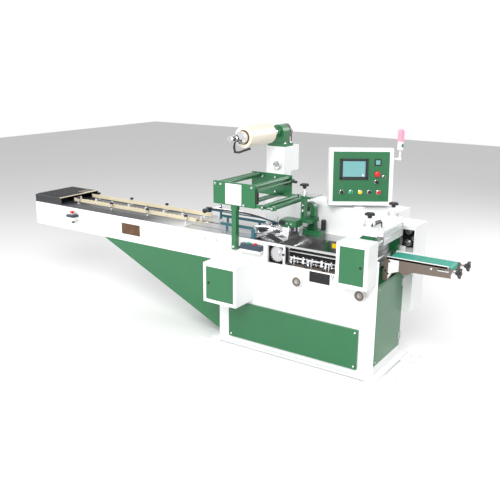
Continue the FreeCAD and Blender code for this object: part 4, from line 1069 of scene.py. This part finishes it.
def makeStations(s):
    low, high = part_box("run_station")
    over = s["overhang"]
    base = bmesh.new()
    addBlock(base, (low.x + 0.0165, low.y - 0.0012, low.z - 0.001),
             (high.x + over, frontY + 0.001, low.z + s["baseHeight"]))
    addPiece("stationBase", base, "white_plastic", bevel=0.006)
    dark = bmesh.new()
    addTurned(dark, s["runGland"], (low.x - 0.001, frontY - 0.026, low.z + 0.026), toRight, 24)
    stopLow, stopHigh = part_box("infeed_stop_station")
    middle = centre("infeed_stop_station")
    addTurned(dark, s["stopGland"], (middle.x + 0.006, middle.y, stopLow.z - 0.001), up, 24)
    addPiece("cableGlands", dark, "black_plastic", smooth=True)
    cover = bmesh.new()
    addBlock(cover, (stopLow.x - over, stopLow.y - over, s["coverBottom"]),
             (stopHigh.x + over, frontY + 0.001, s["coverTop"]))
    addPiece("stopCover", cover, "navy_plastic", bevel=0.005)


def makeHandwheels(h):
    plates = bmesh.new()
    for wheel in ("seam_handwheel", "jaw_handwheel"):
        x, z = centre(wheel).xz
        addTurned(plates, h["plate"], (x, frontY, z), toFront, 44)
        rim = bmesh.new()
        addTurned(rim, h["rim"], (x, frontY, z), toFront, 44)
        addPiece(wheel + "Rim", rim, "white_plastic", body=wheel, smooth=True)
        hub = bmesh.new()
        addBolt(hub, (x, frontY - h["boltDepth"], z), toFront, *h["bolt"])
        addTurned(hub, h["ring"], (x, frontY, z), toFront, 36)
        addPiece(wheel + "Hub", hub, "steel", body=wheel, smooth=True)
    addPiece("handwheelPlates", plates, "white_paint", smooth=True)


def makeLock(s, name, door, body, side):
    low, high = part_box(door)
    x = high.x - s["inset"] if side > 0 else low.x + s["inset"]
    mesh = bmesh.new()
    addTurned(mesh, s["shape"], (x, low.y, (low.z + high.z) / 2), toFront, 24)
    addPiece(name, mesh, "black_plastic", body=body, smooth=True)


makeStations(station)
makeHandwheels(handwheel)
makeLock(doorLock, "electricalLock", "electrical_box_door", "electrical_door", -1)
makeLock(doorLock, "driveLock", "drive_box_door", "drive_door", 1)


# end sealer
sealer = {
    "plateTop": 1.083,
    "threadTurns": 30,
    "columnOffset": 0.034,
    "column": ((0.008, 0), (0.008, 0.04), (0.006, 0.044), (0, 0.044)),
    "columnBolt": (0.006, 0.005),
    "handle": ((-0.186, 1.048), (-0.184, 1.076), (-0.170, 1.088), (-0.119, 1.091),
               (-0.068, 1.088), (-0.054, 1.076), (-0.052, 1.048)),
    "handleRadius": 0.0135,
    "gearBack": 0.143,
    "gears": ((0.07, 0.95, 0.028), (0.115, 0.90, 0.022), (0.07, 0.862, 0.026)),
    "gearBolt": (0.006, 0.006),
    "jawRadius": 0.058,
    "jawHalf": 0.0145,
    "toothCount": 6,
    "toothPitch": 0.005,
    "toothWidth": 0.0024,
    "jawLength": 0.124,
    "jawRing": ((0.0155, 0), (0.021, 0), (0.021, 0.012), (0.0155, 0.012)),
}


def makeSealerTrim(s):
    jawX = centre("upper_jaw").x
    top = s["plateTop"]
    bright = bmesh.new()
    thread = [(0.0076 + 0.0009 * (i % 2), i * 0.0018) for i in range(s["threadTurns"])]
    for knob in ("front_sealer_knob", "rear_sealer_knob"):
        y = centre(knob).y
        addTurned(bright, thread, (jawX, y, top + 0.012), up, 20)
        for dx in (-s["columnOffset"], s["columnOffset"]):
            addTurned(bright, s["column"], (jawX + dx, y, top), up, 20)
            addBolt(bright, (jawX + dx * 1.4, y + 0.012, top), up, *s["columnBolt"])
    addPiece("sealerColumns", bright, "chrome", smooth=True)
    handle = bmesh.new()
    addTube(handle, [(jawX, y, z) for y, z in s["handle"]], s["handleRadius"], 16)
    addPiece("bridgeHandle", handle, "black_plastic", smooth=True)
    low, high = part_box("sealer_guard")
    strips = bmesh.new()
    addBlock(strips, (high.x - 0.0055, low.y + 0.004, low.z), (high.x + 0.001, high.y - 0.004, low.z + 0.007))
    addBlock(strips, (high.x - 0.0055, low.y + 0.004, low.z + 0.052),
             (high.x + 0.0014, high.y - 0.004, low.z + 0.060))
    for y in (low.y, high.y - 0.012):
        addBlock(strips, (high.x - 0.0058, y, low.z), (high.x + 0.0016, y + 0.012, high.z - 0.012))
    addPiece("guardStrips", strips, "steel", body="guard", bevel=0.0008)
    low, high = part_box("sealer_housing")
    backY = low.y + s["gearBack"]
    # painted shade: a near-black sheet inside the sealer housing stands for the shade behind its gears
    backShade = bmesh.new()
    addBlock(backShade, (low.x + 0.013, backY, 0.822), (high.x - 0.011, backY + 0.0055, 0.990))
    addPiece("housingBackShade", backShade, "blackGap", "black_paint")
    gears = bmesh.new()
    for dx, z, r in s["gears"]:
        x, y = jawX + dx, backY - 0.001
        shape = ((0, 0), (r, 0), (r, 0.02), (r * 0.5, 0.02), (r * 0.5, 0.05), (0, 0.05))
        addTurned(gears, shape, (x, y, z), toFront, 24)
        addBolt(gears, (x + r, y, z + r), toFront, *s["gearBolt"])
    addPiece("sealerGears", gears, "steel", smooth=True)


def makeJawTeeth(s, jaw):
    jawX = centre("upper_jaw").x
    axisZ = centre(jaw).z
    reach = math.sqrt(s["jawRadius"] ** 2 - s["jawHalf"] ** 2) - 0.0004
    half = s["toothWidth"] / 2
    teeth = bmesh.new()
    for side in (-1, 1):
        for i in range(s["toothCount"]):
            x = jawX - 0.0125 + i * s["toothPitch"]
            ends = sorted((axisZ + side * (reach - 0.002), axisZ + side * reach))
            addBlock(teeth, (x - half, laneY - s["jawLength"], ends[0]),
                     (x + half, laneY + s["jawLength"], ends[1]))
    for side in (-1, 1):
        addTurned(teeth, s["jawRing"], (jawX, laneY + side * 0.134 - 0.006, axisZ), (0, 1, 0), 28)
    addPiece(jaw + "Teeth", teeth, "steel", body=jaw)


# discharge
discharge = {
    "railInset": 0.0045,
    "railWidth": 0.0185,
    "railHeights": (0.848, 0.8675),
    "bracketFront": 0.0960,
    "bracket": ((0.004, 0.71), (0.03, 0.757), (0.118, 0.792), (0.118, 0.852), (0.004, 0.852)),
    "threadTurns": 14,
    "sideOffset": 0.1008,
    "slideRadius": 0.0055,
    "sideBolt": (0.008, 0.006),
    "rollerHeight": 0.838,
    "rollerEnd": ((0, 0), (0.020, 0), (0.020, 0.004), (0, 0.004)),
    "crossBar": ((0, 0), (0.007, 0), (0.007, 0.2), (0, 0.2)),
    "lacingCount": 22,
    "lacingPitch": 0.0063,
    "lacingX": (0.19, 0.198),
}


def makeDischargeTrim(d):
    beltLow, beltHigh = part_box("discharge_belt")
    rails = bmesh.new()
    inner = (beltHigh.y - beltLow.y) / 2 + d["railInset"]
    for side in (-1, 1):
        ys = sorted((laneY + side * inner, laneY + side * (inner + d["railWidth"])))
        addBlock(rails, (rightX - 0.012, ys[0], d["railHeights"][0]),
                 (beltHigh.x - 0.018, ys[1], d["railHeights"][1]))
    addPiece("dischargeRails", rails, "white_paint", bevel=0.0015)
    brackets = bmesh.new()
    y = laneY - d["bracketFront"]
    front = [brackets.verts.new((rightX + dx, y - 0.0012, z)) for dx, z in d["bracket"]]
    rear = [brackets.verts.new((rightX + dx, y + 0.001, z)) for dx, z in d["bracket"]]
    brackets.faces.new(front)
    brackets.faces.new(list(reversed(rear)))
    for i in range(len(front)):
        j = (i + 1) % len(front)
        brackets.faces.new((front[j], front[i], rear[i], rear[j]))
    addPiece("dischargeBracket", brackets, "white_paint")
    bright = bmesh.new()
    thread = [(0.0066 + 0.0008 * (i % 2), i * 0.0016) for i in range(d["threadTurns"])]
    for knob in ("front_tension_knob", "rear_tension_knob"):
        ky, kz = centre(knob).yz
        addTurned(bright, thread, (beltHigh.x + 0.009, ky, kz), toRight, 18)
        side = -1 if ky < laneY else 1
        plateY = laneY + side * d["sideOffset"]
        addTube(bright, [(beltHigh.x - 0.085, plateY, kz), (beltHigh.x - 0.01, plateY, kz)],
                d["slideRadius"], 12)
        addBolt(bright, (beltHigh.x - 0.125, plateY, kz + 0.004), (0, side, 0), *d["sideBolt"])
    for y0 in (beltLow.y - 0.004, beltHigh.y):
        addTurned(bright, d["rollerEnd"], (beltHigh.x - 0.024, y0, d["rollerHeight"]), (0, 1, 0), 28)
    for i in range(3):
        place = (rightX - 0.03 + i * 0.018, laneY - 0.1, 0.79 - i * 0.02)
        addTurned(bright, d["crossBar"], place, (0, 1, 0), 18)
    addPiece("tensionScrews", bright, "chrome", smooth=True)
    lacing = bmesh.new()
    x0, x1 = rightX + d["lacingX"][0], rightX + d["lacingX"][1]
    for i in range(d["lacingCount"]):
        y = beltLow.y + i * d["lacingPitch"]
        addBlock(lacing, (x0, y + 0.004, beltHigh.z), (x1, y + 0.0075, beltHigh.z + 0.0006))
    addPiece("beltLacing", lacing, "teal_belt")


makeSealerTrim(sealer)
makeJawTeeth(sealer, "upper_jaw")
makeJawTeeth(sealer, "lower_jaw")
makeDischargeTrim(discharge)
print("end sealer and discharge are done")


# floor and surroundings
def makeFloor():
    f = Finish("studioFloor")
    cloud = f.noise(0.4, 1.0)
    low, high = studio["floorTones"]
    colour = f.blend(cloud, (low, low, low, 1), (high, high, high, 1))
    f.finishWith({"Base Color": colour, "Roughness": cloud * 0.1 + 0.75})
    reach = studio["floorReach"]
    mesh = bmesh.new()
    addBlock(mesh, (-reach, -reach, -0.02), (reach, reach, 0))
    data = bpy.data.meshes.new("floor")
    mesh.to_mesh(data)
    mesh.free()
    data.materials.append(f.material)
    floor = bpy.data.objects.new("floor", data)
    bpy.context.scene.collection.objects.link(floor)


def makeAir():
    # full white where it is seen or mirrored, softer where it only lights
    world = bpy.data.worlds.new("studioAir")
    bpy.context.scene.world = world
    world.use_nodes = True
    tree = world.node_tree
    ray = tree.nodes.new("ShaderNodeLightPath")
    seen = tree.nodes.new("ShaderNodeMath")
    seen.operation = "MAXIMUM"
    tree.links.new(ray.outputs["Is Camera Ray"], seen.inputs[0])
    tree.links.new(ray.outputs["Is Glossy Ray"], seen.inputs[1])
    strength = tree.nodes.new("ShaderNodeMapRange")
    strength.inputs["To Min"].default_value = studio["worldStrength"]
    strength.inputs["To Max"].default_value = 1.0
    tree.links.new(seen.outputs[0], strength.inputs["Value"])
    air = tree.nodes["Background"]
    air.inputs["Color"].default_value = (1, 1, 1, 1)
    tree.links.new(strength.outputs[0], air.inputs["Strength"])


makeFloor()
makeAir()
